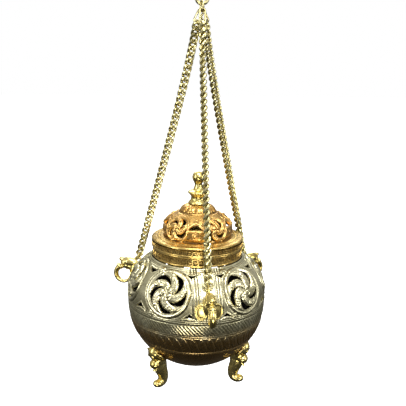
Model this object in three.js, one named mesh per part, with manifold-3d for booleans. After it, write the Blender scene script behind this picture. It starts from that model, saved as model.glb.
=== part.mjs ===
// Hanging censer: a pierced brass bowl on three feet with a pierced lift-off lid, hung from one ring
// on three curb chains. Millimetres, +Z up. The origin is where a hook bears inside the top ring.
import * as THREE from "three";
import { mergeVertices } from "three/addons/utils/BufferGeometryUtils.js";
import Module from "manifold-3d";

const wasm = await Module();
wasm.setup();

// ---- Driving dimensions -------------------------------------------------------------------------
// Heights are above the plane that the feet stand on.
const GAP = 0.3; // clearance wherever two pieces meet

const BOWL_R = 50; // outside, at the belly
const BOWL_CLEAR = 12; // from the floor to the bowl's underside
const BELLY_Z = BOWL_CLEAR + BOWL_R; // height of the belly's widest ring
const UPPER_RISE = 38.9; // semi-height of the flatter upper half
const UPPER_POWER = 2.5; // superellipse power of the upper half
const BOWL_WALL = 1.6;
const BOWL_SEGMENTS = 36; // a multiple of 12, so that lugs and feet meet alike facets
const BOWL_ROWS = [6, 5]; // facet rows below and above the belly

const COLLAR_R = 32.2;
const COLLAR_WALL = 2;
const COLLAR_HEIGHT = 6.9;
const MOUTH_PROUD = 0.6; // the bowl's mouth stands out this far past the collar that it carries
const MOUTH_R = COLLAR_R + MOUTH_PROUD;
const BAND_LIP = 0.9; // height of the plain lips that edge each key band
const BAND_RECESS = 0.35; // depth of the band's ground behind its lips

const RIM_PROUD = 0.7; // the lid's rim stands out this far past the collar
const RIM_HEIGHT = 6.5;
const RIM_WALL = 1.8;
const RIM_EDGE = 1.4; // radius of the rim's rounded top edge
const SHOULDER_RISE = 0.9; // the shoulder climbs this much from rim to dome
const SPIGOT_DEPTH = 4.5; // how far the lid reaches down inside the collar
const SPIGOT_WALL = 1.4;

const DOME_BASE_R = 23.6;
const DOME_BELLY = [24.5, 3.2]; // widest radius, and its height above the shoulder
const DOME_HIP = [22.6, 10.6];
const DOME_TOP = [13, 17.4]; // where the crown starts
const DOME_WALL = 1.4;
const DOME_CAP_RISE = 1.6; // rise of the cap hidden under the crown

const CROWN_RISE = 4.8;
const CROWN_WALL = 1.3;
const CROWN_LOBES = 12;
const CROWN_ROUND = [[0.4, 1.6], [2.6, 3.6]]; // how far in and how high the cap's two bends lie
const FLUTE_R = 1; // of the grooves between the lobes

const FINIAL_BASE_R = 6.4;
const FINIAL_BASE_THICK = 0.9;
const FINIAL_WAIST = [4.8, 3.6]; // radius, and height above the crown
const FINIAL_FLANGE = [7.4, 7.9];
const FLANGE_THICK = 0.9;
const FINIAL_SHOULDER = [3.4, 10.4];
const FINIAL_NECK = [2.7, 13.4];
const FINIAL_BALL = [4.3, 18.6];
const STUD_R = 1.5;
const STUD_BELOW = 8.5; // length of the stud under the finial
const WASHER_R = 3.6;
const WASHER_THICK = 0.8;
const NUT_R = 3.2;
const NUT_THICK = 2.4;

const PAN_R = 28.2;
const PAN_DEPTH = 17;
const PAN_FOOT_R = 19;
const PAN_FOOT_HEIGHT = 3;
const PAN_WALL = 1.2;
const PAN_LIP = 1.6; // bead rolled round the pan's edge

const HANGERS = 3; // lugs, chains and feet
const LUG_START_DEG = -90; // the first lug faces the front
const FOOT_START_DEG = -150;
// A lug is drawn from the belly's outside and height, as [outward, up].
const LUG_EYE = [-2.6, 22.5]; // middle of the hole that the jump ring passes through
const LUG_EYE_R = 1.3;
const LUG_EYE_WIRE = 1.7;
// Sizes are [thickness, width] along a path; centres are [outward, sideways, up].
const LUG_HEAD = {
  path: [[-2, 17.5], [3, 19.6], [8, 19.4], [11.6, 17.6]],
  sizes: [[5, 5], [7.4, 7.2], [6.6, 6.6], [4.6, 5]],
};
const LUG_KNOB = { path: [[9, 20], [10.8, 21], [12.8, 20.9]], sizes: [[2.2, 3], [2.6, 4], [2, 3]] };
const LUG_ROOT = { centre: [-0.4, 0, 12], radii: [4.6, 4.2, 7] };
const LUG_EAR = { centre: [0.2, 5.1, 8.6], radii: [1.3, 4.4, 5.9], lean: 0, turn: 0.24 };
const LUG_TUSK = { centre: [10.8, 2.4, 15.6], radii: [2.2, 0.9, 0.9], lean: 0, turn: 0 };
const TRUNK_START = [10.4, 17.4];
const TRUNK_LOOP = [10, 9.2]; // centre of the curled trunk
const TRUNK_LOOP_R = 6.2;
const TRUNK_SIZES = [[4.6, 5], [3.4, 4.6], [3.4, 4.2], [3, 3.2]];
// A foot is drawn from the bowl's wall at its rivet outward, and from the floor up.
const FOOT_BROW = { centre: [3.37, 0, 27.6], radii: [5.4, 5.8, 6.4] };
const FOOT_CHEEK = { centre: [3.77, 0, 19.4], radii: [4, 4.4, 3.8] };
const FOOT_EAR = { centre: [3.77, 5.6, 26.4], radii: [1.6, 3.8, 5], lean: 0.7, turn: 0.2 };
const FOOT_TUSK = { centre: [4.37, 3.4, 16.6], radii: [1, 0.9, 2.6], lean: 0, turn: 0 };
const FOOT_TRUNK = {
  path: [[-0.63, 22], [-1.23, 15], [-3.43, 9], [-3.03, 2.6], [0.37, 1.1], [4.37, 3.2]],
  sizes: [[11, 9], [9.6, 8], [6.6, 6.6], [5.6, 6], [5, 5.6], [4.4, 5.2]],
};
const RIVET_R = 1.1;
const RIVET_HEAD_R = 2.3;
const RIVET_HEAD_THICK = 1.4;
const RIVET_BITE = 3.2; // how far a rivet reaches into the piece that it holds

const LINK_WIRE = 1.45;
const LINK_INSIDE = 3; // between a link's two sides, across the flat of the chain
const LINK_WAVE = 1.45; // how far a link's sides are twisted out of the flat
const LINK_PITCH = 4.35; // wanted spacing; a chain gets the whole number of links nearest to it
const LINK_CONTACT = 0.16; // neighbouring links are joined this deep where they bear
const CHAIN_TOP_R = 3.5; // each chain's distance from the axis in the bundle at the top
const CHAIN_BEND = [4.4, 34.4]; // where the bundled chain turns outward: radius, drop from the top ring
const TOP_ROLL_DEG = [-40, 7, 50]; // turn of each chain's flat at the top, out of its radial plane
const END_ROLL_DEG = 45; // turn of the last link, into the jump ring
const ROLL_LINKS = 7; // links over which a chain turns

const LINK_PLAY = 0.55; // room between a chain's own links and the rings at its ends
const JUMP_RING_R = 2.8; // to the wire's centre
const JUMP_RING_WIRE = 1.4;
const END_LINK_WIRE = 1.3;
const END_LINK_SLACK = 0.425; // room each side of the chain's wire inside an end link
const END_LINK = [(LINK_WIRE + END_LINK_WIRE) / 2 + END_LINK_SLACK, 5.2]; // half width, half length
const END_LINK_SEATS = [-2.6, -0.1, 2.8]; // where the end links bear along the joining link
const JOINING_LINK = [5, 3.4];
const JOINING_LINK_WIRE = 1.6;
const JOINING_LINK_CORNER = 2.2;
const TOP_RING_R = 4; // to the wire's centre
const TOP_RING_WIRE = 2.4;
const TOP_RING_Z = 272.4; // height of the ring's centre

const MEDALLION_Z = BELLY_Z + 18.5;
const MEDALLION_R = 13.6; // outer edge of the piercings
const MEDALLION_TURN_DEG = 35; // each side of a lug
const MEDALLION_LEAVES = 5;
const MEDALLION_HUB = 5.2;
const MEDALLION_OPEN_DEG = 38; // width of a gap at the frame
const LEAF_SWIRL_DEG = 46; // a gap's near side turns this far between hub and frame
const GAP_BULGE = 0.5; // the gaps' outer ends are rounded out by this
const CORNER_TURN_DEG = 15; // from a lug to the corners of its plain panel
const CORNER_HOLE = 2.2; // size of the three-cornered holes, and [height over belly, direction]
const CORNER_HOLES = [[29, -90], [4.5, 90]];
const MIDDLE_HOLE = 3.2; // the larger ones halfway between two lugs
const MIDDLE_HOLES = [[28.5, -90], [5.5, 90]];
const BOWL_CUT = 14; // depth of the cutters, square to the wall
const ROSETTES = 5; // pierced roundels on the dome, with an arched gap between each two
const ROSETTE_START_DEG = -67;
const ROSETTE_RISE = 8.6; // height of a rosette's hub above the dome's foot
const ROSETTE_R = 7.6; // outer edge of the piercings
const ROSETTE_LEAVES = 4;
const ROSETTE_HUB = 3;
const ROSETTE_OPEN_DEG = 46;
const DOME_CUT = 10;
const ARCH_GAP = [10.5, 3.4, 2.8]; // width, height and thickness of the arched gaps

// ---- Helpers ------------------------------------------------------------------------------------
const rad = THREE.MathUtils.degToRad;
const v2 = (x, y) => new THREE.Vector2(x, y);
const v3 = (x, y, z) => new THREE.Vector3(x, y, z);

// A closed geometry as a manifold-3d solid.
function solid(geometry) {
  const bare = geometry.clone();
  bare.deleteAttribute("normal");
  bare.deleteAttribute("uv");
  const merged = mergeVertices(bare, 1e-4);
  const vertProperties = merged.attributes.position.array;
  const triVerts = new Uint32Array(merged.index.array);
  return new wasm.Manifold(new wasm.Mesh({ numProp: 3, vertProperties, triVerts }));
}

// A manifold-3d solid as a geometry.
function geometryOf(shape) {
  const mesh = shape.getMesh();
  const geometry = new THREE.BufferGeometry();
  geometry.setAttribute("position", new THREE.BufferAttribute(mesh.vertProperties, 3));
  geometry.setIndex(new THREE.BufferAttribute(mesh.triVerts, 1));
  geometry.computeVertexNormals();
  return geometry;
}

const join = (pieces) => pieces.map(solid).reduce((whole, piece) => whole.add(piece));
const cut = (body, cutters) => cutters.map(solid).reduce((rest, piece) => rest.subtract(piece), body);

// A profile of [radius, height] pairs turned round Z.
function turned(profile, segments) {
  const points = profile.map(([r, z]) => v2(r, z));
  return new THREE.LatheGeometry(points, segments).rotateX(Math.PI / 2);
}

// A ring whose section is the closed profile.
function turnedRing(profile, segments) {
  return turned([...profile, profile[0]], segments);
}

// A tube round the closed curve pointAt(0..1); `side` is a direction that never runs along it.
function closedTube(pointAt, side, radius, steps, sides) {
  const tube = new THREE.TorusGeometry(2, 1, sides, steps);
  const uv = tube.attributes.uv;
  const position = tube.attributes.position;
  for (let i = 0; i < uv.count; i++) {
    const u = uv.getX(i) % 1;
    const turn = 2 * Math.PI * uv.getY(i);
    const centre = pointAt(u);
    const along = pointAt((u + 0.001) % 1).sub(pointAt((u + 0.999) % 1)).normalize();
    const out = along.clone().cross(side).normalize();
    const up = out.clone().cross(along);
    centre.addScaledVector(out, radius * Math.cos(turn)).addScaledVector(up, radius * Math.sin(turn));
    position.setXYZ(i, centre.x, centre.y, centre.z);
  }
  return tube;
}

// A wire loop in the XZ plane: straight sides joined by round corners of radius `corner`.
function ovalLoop([halfWidth, halfLength], wire, corner, steps, sides) {
  const reach = (c, half) => corner * c + (Math.abs(c) < 1e-6 ? 0 : Math.sign(c)) * (half - corner);
  const pointAt = (u) => {
    const a = 2 * Math.PI * u;
    return v3(reach(Math.cos(a), halfWidth), 0, reach(Math.sin(a), halfLength));
  };
  return closedTube(pointAt, v3(0, 1, 0), wire / 2, steps, sides);
}

// A limb along a curve in the XZ plane, round at both ends. sizes are [thickness, width] pairs,
// evenly spaced along the curve.
function limb(points, sizes, sides, steps) {
  const path = new THREE.CatmullRomCurve3(points.map(([x, z]) => v3(x, 0, z)));
  const body = new THREE.SphereGeometry(1, sides, steps);
  const uv = body.attributes.uv;
  const position = body.attributes.position;
  const thickness = new THREE.SplineCurve(sizes.map(([thick, width]) => v2(thick / 2, width / 2)));
  for (let i = 0; i < uv.count; i++) {
    const s = 1 - uv.getY(i);
    const roundEnd = Math.min(1, Math.sqrt(Math.max(0, 1 - (2 * s - 1) ** 8)));
    const size = thickness.getPoint(s).multiplyScalar(roundEnd);
    const along = path.getTangent(s);
    const turn = Math.atan2(position.getZ(i), position.getX(i));
    const out = v3(along.z, 0, -along.x);
    const centre = path.getPoint(s).addScaledVector(out, size.x * Math.cos(turn));
    const seam = Math.abs(position.getY(i)) > 0.9999 ? 0 : 1;
    centre.y += seam * size.y * Math.sin(turn);
    position.setXYZ(i, centre.x, centre.y, centre.z);
  }
  return body;
}

function ellipsoid([x, y, z], [rx, ry, rz], across, down) {
  const ball = new THREE.SphereGeometry(1, across, down).rotateX(Math.PI / 2);
  return ball.scale(rx, ry, rz).translate(x, y, z);
}

// ---- Bowl outline -------------------------------------------------------------------------------
// Half circle below the belly, superellipse above it. `grow` moves it outward.
const bowlRise = (grow) => UPPER_RISE + grow;
function bowlRadius(z, grow = 0) {
  const height = z - BELLY_Z;
  const span = BOWL_R + grow;
  if (height < 0) return Math.sqrt(Math.max(0, span ** 2 - height ** 2));
  return span * (1 - (height / bowlRise(grow)) ** UPPER_POWER) ** (1 / UPPER_POWER);
}

// Outward direction of the bowl's wall, as [radial, up].
function bowlNormal(z) {
  const height = z - BELLY_Z;
  const r = bowlRadius(z);
  if (height < 0) return [r / BOWL_R, height / BOWL_R];
  const across = r ** (UPPER_POWER - 1) / BOWL_R ** UPPER_POWER;
  const up = height ** (UPPER_POWER - 1) / UPPER_RISE ** UPPER_POWER;
  const slope = v2(across, up).normalize();
  return [slope.x, slope.y];
}

function bowlOutline(grow, topZ, lower, upper) {
  const points = [];
  for (let i = 0; i < lower; i++) {
    const a = rad(90 * (i / lower));
    points.push([(BOWL_R + grow) * Math.sin(a), BELLY_Z - (BOWL_R + grow) * Math.cos(a)]);
  }
  const topShare = ((topZ - BELLY_Z) / bowlRise(grow)) ** (UPPER_POWER / 2);
  const topAngle = Math.asin(topShare);
  for (let i = 0; i <= upper; i++) {
    const a = topAngle * (i / upper);
    const z = BELLY_Z + bowlRise(grow) * Math.sin(a) ** (2 / UPPER_POWER);
    points.push([bowlRadius(z, grow), z]);
  }
  return points;
}

const MOUTH_Z = BELLY_Z + UPPER_RISE * (1 - (MOUTH_R / BOWL_R) ** UPPER_POWER) ** (1 / UPPER_POWER);
const COLLAR_Z = MOUTH_Z + GAP;
const RIM_Z = COLLAR_Z + COLLAR_HEIGHT + GAP;
const RIM_R = COLLAR_R + RIM_PROUD;
const SHOULDER_Z = RIM_Z + RIM_HEIGHT;
const DOME_Z = SHOULDER_Z + SHOULDER_RISE + GAP;
const CROWN_Z = DOME_Z + DOME_TOP[1] + GAP;
const FINIAL_Z = CROWN_Z + CROWN_RISE + GAP;
const PAN_Z = BELLY_Z - Math.sqrt((BOWL_R - BOWL_WALL - 3 * GAP) ** 2 - PAN_FOOT_R ** 2);
const HOOK_Z = TOP_RING_Z + TOP_RING_R - TOP_RING_WIRE / 2;
const LUG_RIVET_Z = BELLY_Z + 17; // height at which a lug's rivet crosses the bowl's wall
const FOOT_RIVET_Z = 25;

// Matrix that lays a flat drawing on the bowl's wall: its X runs round, its Y up, its Z outward.
function onWall(azimuthDeg, r, z, [nr, nz]) {
  const a = rad(azimuthDeg);
  const out = v3(nr * Math.cos(a), nr * Math.sin(a), nz);
  const round = v3(-Math.sin(a), Math.cos(a), 0);
  const up = out.clone().cross(round);
  return new THREE.Matrix4().makeBasis(round, up, out).setPosition(r * Math.cos(a), r * Math.sin(a), z);
}

const onBowl = (azimuthDeg, z) => onWall(azimuthDeg, bowlRadius(z), z, bowlNormal(z));

// A prism of the drawing through the wall, half its depth each side of it.
function wallCutter(shape, place, depth, curveSegments) {
  const prism = new THREE.ExtrudeGeometry(shape, { depth, bevelEnabled: false, curveSegments });
  return prism.translate(0, 0, -depth / 2).applyMatrix4(place);
}

// ---- Openwork -----------------------------------------------------------------------------------
const polar = (radius, deg) => v2(radius * Math.cos(rad(deg)), radius * Math.sin(rad(deg)));

// One gap between two leaves of the pinwheel: a pointed comma that widens towards the frame.
function leafGap(turnDeg, hub, reach, openDeg) {
  const middle = (hub + reach) / 2;
  const farSide = LEAF_SWIRL_DEG + openDeg;
  return new THREE.Shape([
    polar(hub, turnDeg),
    polar(middle, turnDeg + LEAF_SWIRL_DEG * 0.4),
    polar(reach, turnDeg + LEAF_SWIRL_DEG),
    polar(reach + GAP_BULGE, turnDeg + LEAF_SWIRL_DEG + openDeg / 2),
    polar(reach, turnDeg + farSide),
    polar(middle + GAP_BULGE, turnDeg + farSide * 0.5),
  ]);
}

function triangle(size, deg) {
  const corners = [0, 120, 240].map((step) => polar(size, deg + step));
  return new THREE.Shape(corners);
}

// A crescent with its points down.
function archGap([width, rise, thick]) {
  const arch = new THREE.Shape();
  arch.moveTo(-width / 2, 0);
  arch.quadraticCurveTo(0, 2 * rise, width / 2, 0);
  arch.quadraticCurveTo(0, 2 * (rise - thick), -width / 2, 0);
  return arch;
}

function bowlCutters() {
  const cutters = [];
  for (let i = 0; i < HANGERS; i++) {
    const lug = LUG_START_DEG + (360 / HANGERS) * i;
    for (const hand of [-1, 1]) {
      const place = onBowl(lug + hand * MEDALLION_TURN_DEG, MEDALLION_Z);
      for (let k = 0; k < MEDALLION_LEAVES; k++) {
        const gap = leafGap((360 / MEDALLION_LEAVES) * k, MEDALLION_HUB, MEDALLION_R, MEDALLION_OPEN_DEG);
        cutters.push(wallCutter(gap, place, BOWL_CUT, 1));
      }
      for (const [rise, deg] of CORNER_HOLES) {
        const corner = onBowl(lug + hand * CORNER_TURN_DEG, BELLY_Z + rise);
        cutters.push(wallCutter(triangle(CORNER_HOLE, deg), corner, BOWL_CUT, 1));
      }
    }
    for (const [rise, deg] of MIDDLE_HOLES) {
      const corner = onBowl(lug + 180 / HANGERS, BELLY_Z + rise);
      cutters.push(wallCutter(triangle(MIDDLE_HOLE, deg), corner, BOWL_CUT, 1));
    }
  }
  return cutters;
}

// ---- Bowl, collar, pan --------------------------------------------------------------------------
// Square to the bowl's wall at height z, from `from` to `to` outward of its outside.
function wallHole(azimuthDeg, z, radius, from, to) {
  const bore = new THREE.CylinderGeometry(radius, radius, to - from, 8).rotateX(Math.PI / 2);
  return bore.translate(0, 0, (from + to) / 2).applyMatrix4(onBowl(azimuthDeg, z));
}

function bowl() {
  const body = turned([...bowlOutline(0, MOUTH_Z, ...BOWL_ROWS), [0, MOUTH_Z]], BOWL_SEGMENTS);
  const inside = bowlOutline(-BOWL_WALL, MOUTH_Z, 7, 4);
  const mouth = inside.at(-1)[0];
  const hollow = turned([...inside, [mouth, MOUTH_Z + GAP], [0, MOUTH_Z + GAP]], 30);
  const holes = [];
  for (let i = 0; i < HANGERS; i++) {
    const turn = (360 / HANGERS) * i;
    holes.push(wallHole(LUG_START_DEG + turn, LUG_RIVET_Z, RIVET_R + GAP, -6, 6));
    holes.push(wallHole(FOOT_START_DEG + turn, FOOT_RIVET_Z, RIVET_R + GAP, -6, 6));
  }
  return geometryOf(cut(solid(body), [hollow, ...bowlCutters(), ...holes]));
}

// A band with plain lips top and bottom and a sunk ground between them.
function bandProfile(radius, low, high) {
  const ground = radius - BAND_RECESS;
  return [
    [radius, low],
    [radius, low + BAND_LIP],
    [ground, low + BAND_LIP + BAND_RECESS],
    [ground, high - BAND_LIP - BAND_RECESS],
    [radius, high - BAND_LIP],
    [radius, high],
  ];
}

function neckCollar() {
  const top = COLLAR_Z + COLLAR_HEIGHT;
  const inside = COLLAR_R - COLLAR_WALL;
  const profile = [[inside, COLLAR_Z], ...bandProfile(COLLAR_R, COLLAR_Z, top), [inside, top]];
  return turnedRing(profile, 24);
}

function charcoalPan() {
  const baseZ = PAN_Z + PAN_FOOT_HEIGHT;
  const topZ = baseZ + PAN_DEPTH;
  const swell = PAN_R - PAN_LIP - PAN_FOOT_R;
  const cupRadius = (z) => PAN_FOOT_R + swell * Math.sqrt((z - baseZ) / PAN_DEPTH);
  const stations = [0, 0.15, 0.4, 0.7, 1].map((share) => baseZ + PAN_DEPTH * share);
  const outside = stations.map((z) => [cupRadius(z), z]);
  const inside = stations.map((z) => [cupRadius(z) - PAN_WALL, Math.max(z, baseZ + PAN_WALL)]).reverse();
  const lip = [[PAN_R, topZ], [PAN_R, topZ + PAN_LIP], [PAN_R - PAN_LIP - PAN_WALL, topZ + PAN_LIP]];
  const foot = [
    [0, baseZ],
    [PAN_FOOT_R - 2 * PAN_WALL, baseZ],
    [PAN_FOOT_R - PAN_WALL, PAN_Z],
    [PAN_FOOT_R, PAN_Z],
  ];
  return turned([...foot, ...outside, ...lip, ...inside, [0, baseZ + PAN_WALL]], 24);
}

// ---- Lid ----------------------------------------------------------------------------------------
function lidRim() {
  const spigotR = COLLAR_R - COLLAR_WALL - GAP;
  const spigotZ = RIM_Z - SPIGOT_DEPTH;
  const band = bandProfile(RIM_R, RIM_Z, SHOULDER_Z - RIM_EDGE);
  const edge = [30, 60, 90].map((deg) => [
    RIM_R - RIM_EDGE + RIM_EDGE * Math.cos(rad(deg)),
    SHOULDER_Z - RIM_EDGE + RIM_EDGE * Math.sin(rad(deg)),
  ]);
  const shoulderTop = SHOULDER_Z + SHOULDER_RISE;
  const throat = DOME_BASE_R - DOME_WALL - GAP;
  return turnedRing(
    [
      [spigotR - SPIGOT_WALL, spigotZ],
      [spigotR, spigotZ],
      [spigotR, RIM_Z],
      ...band,
      ...edge,
      [DOME_BASE_R + DOME_WALL, shoulderTop],
      [throat, shoulderTop],
      [throat, shoulderTop - RIM_WALL],
      [spigotR - SPIGOT_WALL, SHOULDER_Z - RIM_WALL],
    ],
    24,
  );
}

// Outside of the dome, from its foot to where the crown sits.
function domeCurve() {
  const knots = [[DOME_BASE_R, 0], DOME_BELLY, DOME_HIP, DOME_TOP];
  return new THREE.SplineCurve(knots.map(([r, rise]) => v2(r, DOME_Z + rise)));
}

// The same as points; `grow` moves them outward.
function domeOutline(grow, steps) {
  const curve = domeCurve();
  const points = [];
  for (let i = 0; i <= steps; i++) {
    const share = i / steps;
    const here = curve.getPoint(share);
    const along = curve.getTangent(share);
    points.push([here.x + grow * along.y, here.y - grow * along.x]);
  }
  return points;
}

// The place on the dome's wall at a height above its foot, for a drawing to lie on.
function onDome(azimuthDeg, rise) {
  const curve = domeCurve();
  let share = 0;
  while (curve.getPoint(share).y < DOME_Z + rise) share += 0.01;
  const here = curve.getPoint(share);
  const along = curve.getTangent(share);
  return onWall(azimuthDeg, here.x, here.y, [along.y, -along.x]);
}

function domeCutters() {
  const cutters = [];
  const spacing = 360 / ROSETTES;
  for (let i = 0; i < ROSETTES; i++) {
    const turn = ROSETTE_START_DEG + spacing * i;
    for (let k = 0; k < ROSETTE_LEAVES; k++) {
      const gap = leafGap((360 / ROSETTE_LEAVES) * k, ROSETTE_HUB, ROSETTE_R, ROSETTE_OPEN_DEG);
      cutters.push(wallCutter(gap, onDome(turn, ROSETTE_RISE), DOME_CUT, 1));
    }
    const arch = archGap(ARCH_GAP);
    cutters.push(wallCutter(arch, onDome(turn + spacing / 2, ROSETTE_RISE), DOME_CUT, 3));
  }
  return cutters;
}

function lidDome() {
  const outer = domeOutline(0, 5);
  const inner = domeOutline(-DOME_WALL, 4).reverse();
  const foot = inner.pop();
  const capZ = DOME_Z + DOME_TOP[1] - GAP;
  const bore = STUD_R + GAP;
  const crownSeat = [DOME_TOP[0] - CROWN_WALL - 2 * GAP, capZ];
  const profile = [
    [foot[0], DOME_Z],
    ...outer,
    crownSeat,
    [bore, capZ + DOME_CAP_RISE],
    [bore, capZ + DOME_CAP_RISE - DOME_WALL],
    ...inner,
  ];
  return geometryOf(cut(solid(turnedRing(profile, 30)), domeCutters()));
}

// A cap whose edge is scalloped into lobes.
function lidCrown() {
  const bore = STUD_R + GAP;
  const crown = turnedRing(
    [
      [DOME_TOP[0] - CROWN_WALL, CROWN_Z],
      [DOME_TOP[0], CROWN_Z],
      ...CROWN_ROUND.map(([inward, rise]) => [DOME_TOP[0] - inward, CROWN_Z + rise]),
      [FINIAL_BASE_R, CROWN_Z + CROWN_RISE],
      [bore, CROWN_Z + CROWN_RISE],
      [bore, CROWN_Z + CROWN_RISE - CROWN_WALL],
      [FINIAL_BASE_R - GAP, CROWN_Z + CROWN_RISE - CROWN_WALL],
      [DOME_TOP[0] - CROWN_ROUND[1][0] - GAP, CROWN_Z + CROWN_ROUND[0][1] + GAP],
    ],
    24,
  );
  const flutes = [];
  for (let i = 0; i < CROWN_LOBES; i++) {
    const flute = new THREE.CylinderGeometry(FLUTE_R, FLUTE_R, 2 * CROWN_RISE, 6);
    flute.rotateX(Math.PI / 2).translate(DOME_TOP[0] + FLUTE_R / 2, 0, CROWN_Z);
    flutes.push(flute.rotateZ(rad((360 / CROWN_LOBES) * i)));
  }
  return geometryOf(cut(solid(crown), flutes));
}

function finial() {
  const at = ([r, rise]) => [r, FINIAL_Z + rise];
  const [ballR, ballRise] = FINIAL_BALL;
  const ball = [-50, -20, 10, 40, 70].map((deg) => [
    ballR * Math.cos(rad(deg)),
    FINIAL_Z + ballRise + ballR * Math.sin(rad(deg)),
  ]);
  const [flangeR, flangeRise] = FINIAL_FLANGE;
  return turned(
    [
      [0, FINIAL_Z - STUD_BELOW],
      [STUD_R, FINIAL_Z - STUD_BELOW],
      [STUD_R, FINIAL_Z],
      [FINIAL_BASE_R, FINIAL_Z],
      [FINIAL_BASE_R, FINIAL_Z + FINIAL_BASE_THICK],
      at(FINIAL_WAIST),
      [flangeR - FLANGE_THICK, FINIAL_Z + flangeRise - 2 * FLANGE_THICK],
      [flangeR, FINIAL_Z + flangeRise - FLANGE_THICK],
      [flangeR, FINIAL_Z + flangeRise],
      at(FINIAL_SHOULDER),
      at(FINIAL_NECK),
      ...ball,
      [0, FINIAL_Z + ballRise + ballR],
    ],
    18,
  );
}

const capUnderZ = CROWN_Z - 2 * GAP + DOME_CAP_RISE - DOME_WALL;
function flatRing(outer, inner, low, thick, segments) {
  return turnedRing([[inner, low], [outer, low], [outer, low + thick], [inner, low + thick]], segments);
}
const finialWasher = () =>
  flatRing(WASHER_R, STUD_R + GAP, capUnderZ - GAP - WASHER_THICK, WASHER_THICK, 16);
function finialNut() {
  const top = capUnderZ - 2 * GAP - WASHER_THICK;
  const hex = new THREE.CylinderGeometry(NUT_R, NUT_R, NUT_THICK, 6);
  const bore = new THREE.CylinderGeometry(STUD_R + GAP, STUD_R + GAP, 2 * NUT_THICK, 12);
  const nut = geometryOf(cut(solid(hex), [bore])).rotateX(Math.PI / 2);
  return nut.translate(0, 0, top - NUT_THICK / 2);
}

// ---- Lugs and feet, drawn with X outward from the axis ------------------------------------------
// Space that the bowl fills, with the clearance round it.
function bowlBlock() {
  const outline = bowlOutline(GAP, MOUTH_Z, ...BOWL_ROWS);
  return turned([...outline, [0, MOUTH_Z]], BOWL_SEGMENTS);
}

// One of a pair of flattened lumps: an ear or a tusk.
function sideLump({ centre: [x, y, z], radii, lean, turn }, hand, across) {
  const lump = new THREE.SphereGeometry(1, across, 3).rotateZ(Math.PI / 2).scale(...radii);
  return lump.rotateY(lean).rotateZ(hand * turn).translate(x, hand * y, z);
}

function lug() {
  const [loopX, loopZ] = TRUNK_LOOP;
  const wireR = LUG_EYE_WIRE / 2;
  const eye = new THREE.TorusGeometry(LUG_EYE_R + wireR, wireR, 4, 8).rotateX(Math.PI / 2);
  const pieces = [
    eye.translate(LUG_EYE[0], 0, LUG_EYE[1] - GAP),
    limb(LUG_HEAD.path, LUG_HEAD.sizes, 6, 5),
    limb(LUG_KNOB.path, LUG_KNOB.sizes, 5, 3),
    ellipsoid(LUG_ROOT.centre, LUG_ROOT.radii, 6, 4),
  ];
  const curl = [];
  for (let deg = 75; deg >= -205; deg -= 40) {
    curl.push([loopX + TRUNK_LOOP_R * Math.cos(rad(deg)), loopZ + TRUNK_LOOP_R * Math.sin(rad(deg))]);
  }
  pieces.push(limb([TRUNK_START, ...curl], TRUNK_SIZES, 6, 10));
  for (const hand of [-1, 1]) {
    pieces.push(sideLump(LUG_EAR, hand, 8));
    pieces.push(sideLump(LUG_TUSK, hand, 5));
  }
  const seated = pieces.map((piece) => piece.translate(BOWL_R, 0, BELLY_Z));
  const rivetBore = wallHole(0, LUG_RIVET_Z, RIVET_R + GAP, -6, RIVET_BITE + GAP);
  return geometryOf(cut(join(seated), [bowlBlock(), rivetBore]));
}

function foot() {
  const pieces = [
    ellipsoid(FOOT_BROW.centre, FOOT_BROW.radii, 7, 5),
    ellipsoid(FOOT_CHEEK.centre, FOOT_CHEEK.radii, 6, 4),
    limb(FOOT_TRUNK.path, FOOT_TRUNK.sizes, 6, 8),
  ];
  for (const hand of [-1, 1]) {
    pieces.push(sideLump(FOOT_EAR, hand, 8));
    pieces.push(sideLump(FOOT_TUSK, hand, 5));
  }
  const seated = pieces.map((piece) => piece.translate(bowlRadius(FOOT_RIVET_Z), 0, 0));
  const below = FOOT_BROW.centre[2];
  const floor = new THREE.BoxGeometry(2 * BOWL_R, BOWL_R, below).translate(0, 0, -below / 2);
  const rivetBore = wallHole(0, FOOT_RIVET_Z, RIVET_R + GAP, -6, RIVET_BITE + GAP);
  return geometryOf(cut(join(seated), [bowlBlock(), floor, rivetBore]));
}

// A rivet with its head inside the bowl and its shank in the piece outside.
function rivet(z) {
  const seat = -BOWL_WALL - 3 * GAP;
  const profile = [
    [0, seat - RIVET_HEAD_THICK],
    [RIVET_HEAD_R * 0.75, seat - RIVET_HEAD_THICK * 0.8],
    [RIVET_HEAD_R, seat],
    [RIVET_R, seat],
    [RIVET_R, RIVET_BITE],
    [0, RIVET_BITE],
  ];
  return turned(profile, 8).applyMatrix4(onBowl(0, z));
}

// ---- Chains and rings ---------------------------------------------------------------------------
const eyeR = BOWL_R + LUG_EYE[0];
const eyeZ = BELLY_Z + LUG_EYE[1];
const bendZ = TOP_RING_Z - CHAIN_BEND[1];
const chainLean = Math.atan2(eyeR - CHAIN_BEND[0], bendZ - eyeZ);
const joiningTopZ = TOP_RING_Z - TOP_RING_R + (TOP_RING_WIRE + JOINING_LINK_WIRE) / 2 + GAP;
const joiningZ = joiningTopZ - JOINING_LINK[1];
const hangerTurn = (index) => rad(LUG_START_DEG + (360 / HANGERS) * index);

// Where one end link's joint with the joining link is, and where its joint with the chain is.
function endLinkSpan(index) {
  const seat = v3(0, END_LINK_SEATS[index], joiningZ - JOINING_LINK[1]);
  const a = hangerTurn(index);
  const head = v3(CHAIN_TOP_R * Math.cos(a), CHAIN_TOP_R * Math.sin(a), 0);
  const reach = Math.hypot(head.x - seat.x, head.y - seat.y);
  const span = 2 * END_LINK[1] - END_LINK_WIRE - (JOINING_LINK_WIRE + LINK_WIRE) / 2 - GAP - LINK_PLAY;
  head.z = seat.z - Math.sqrt(span ** 2 - reach ** 2);
  return { seat, head };
}

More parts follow.
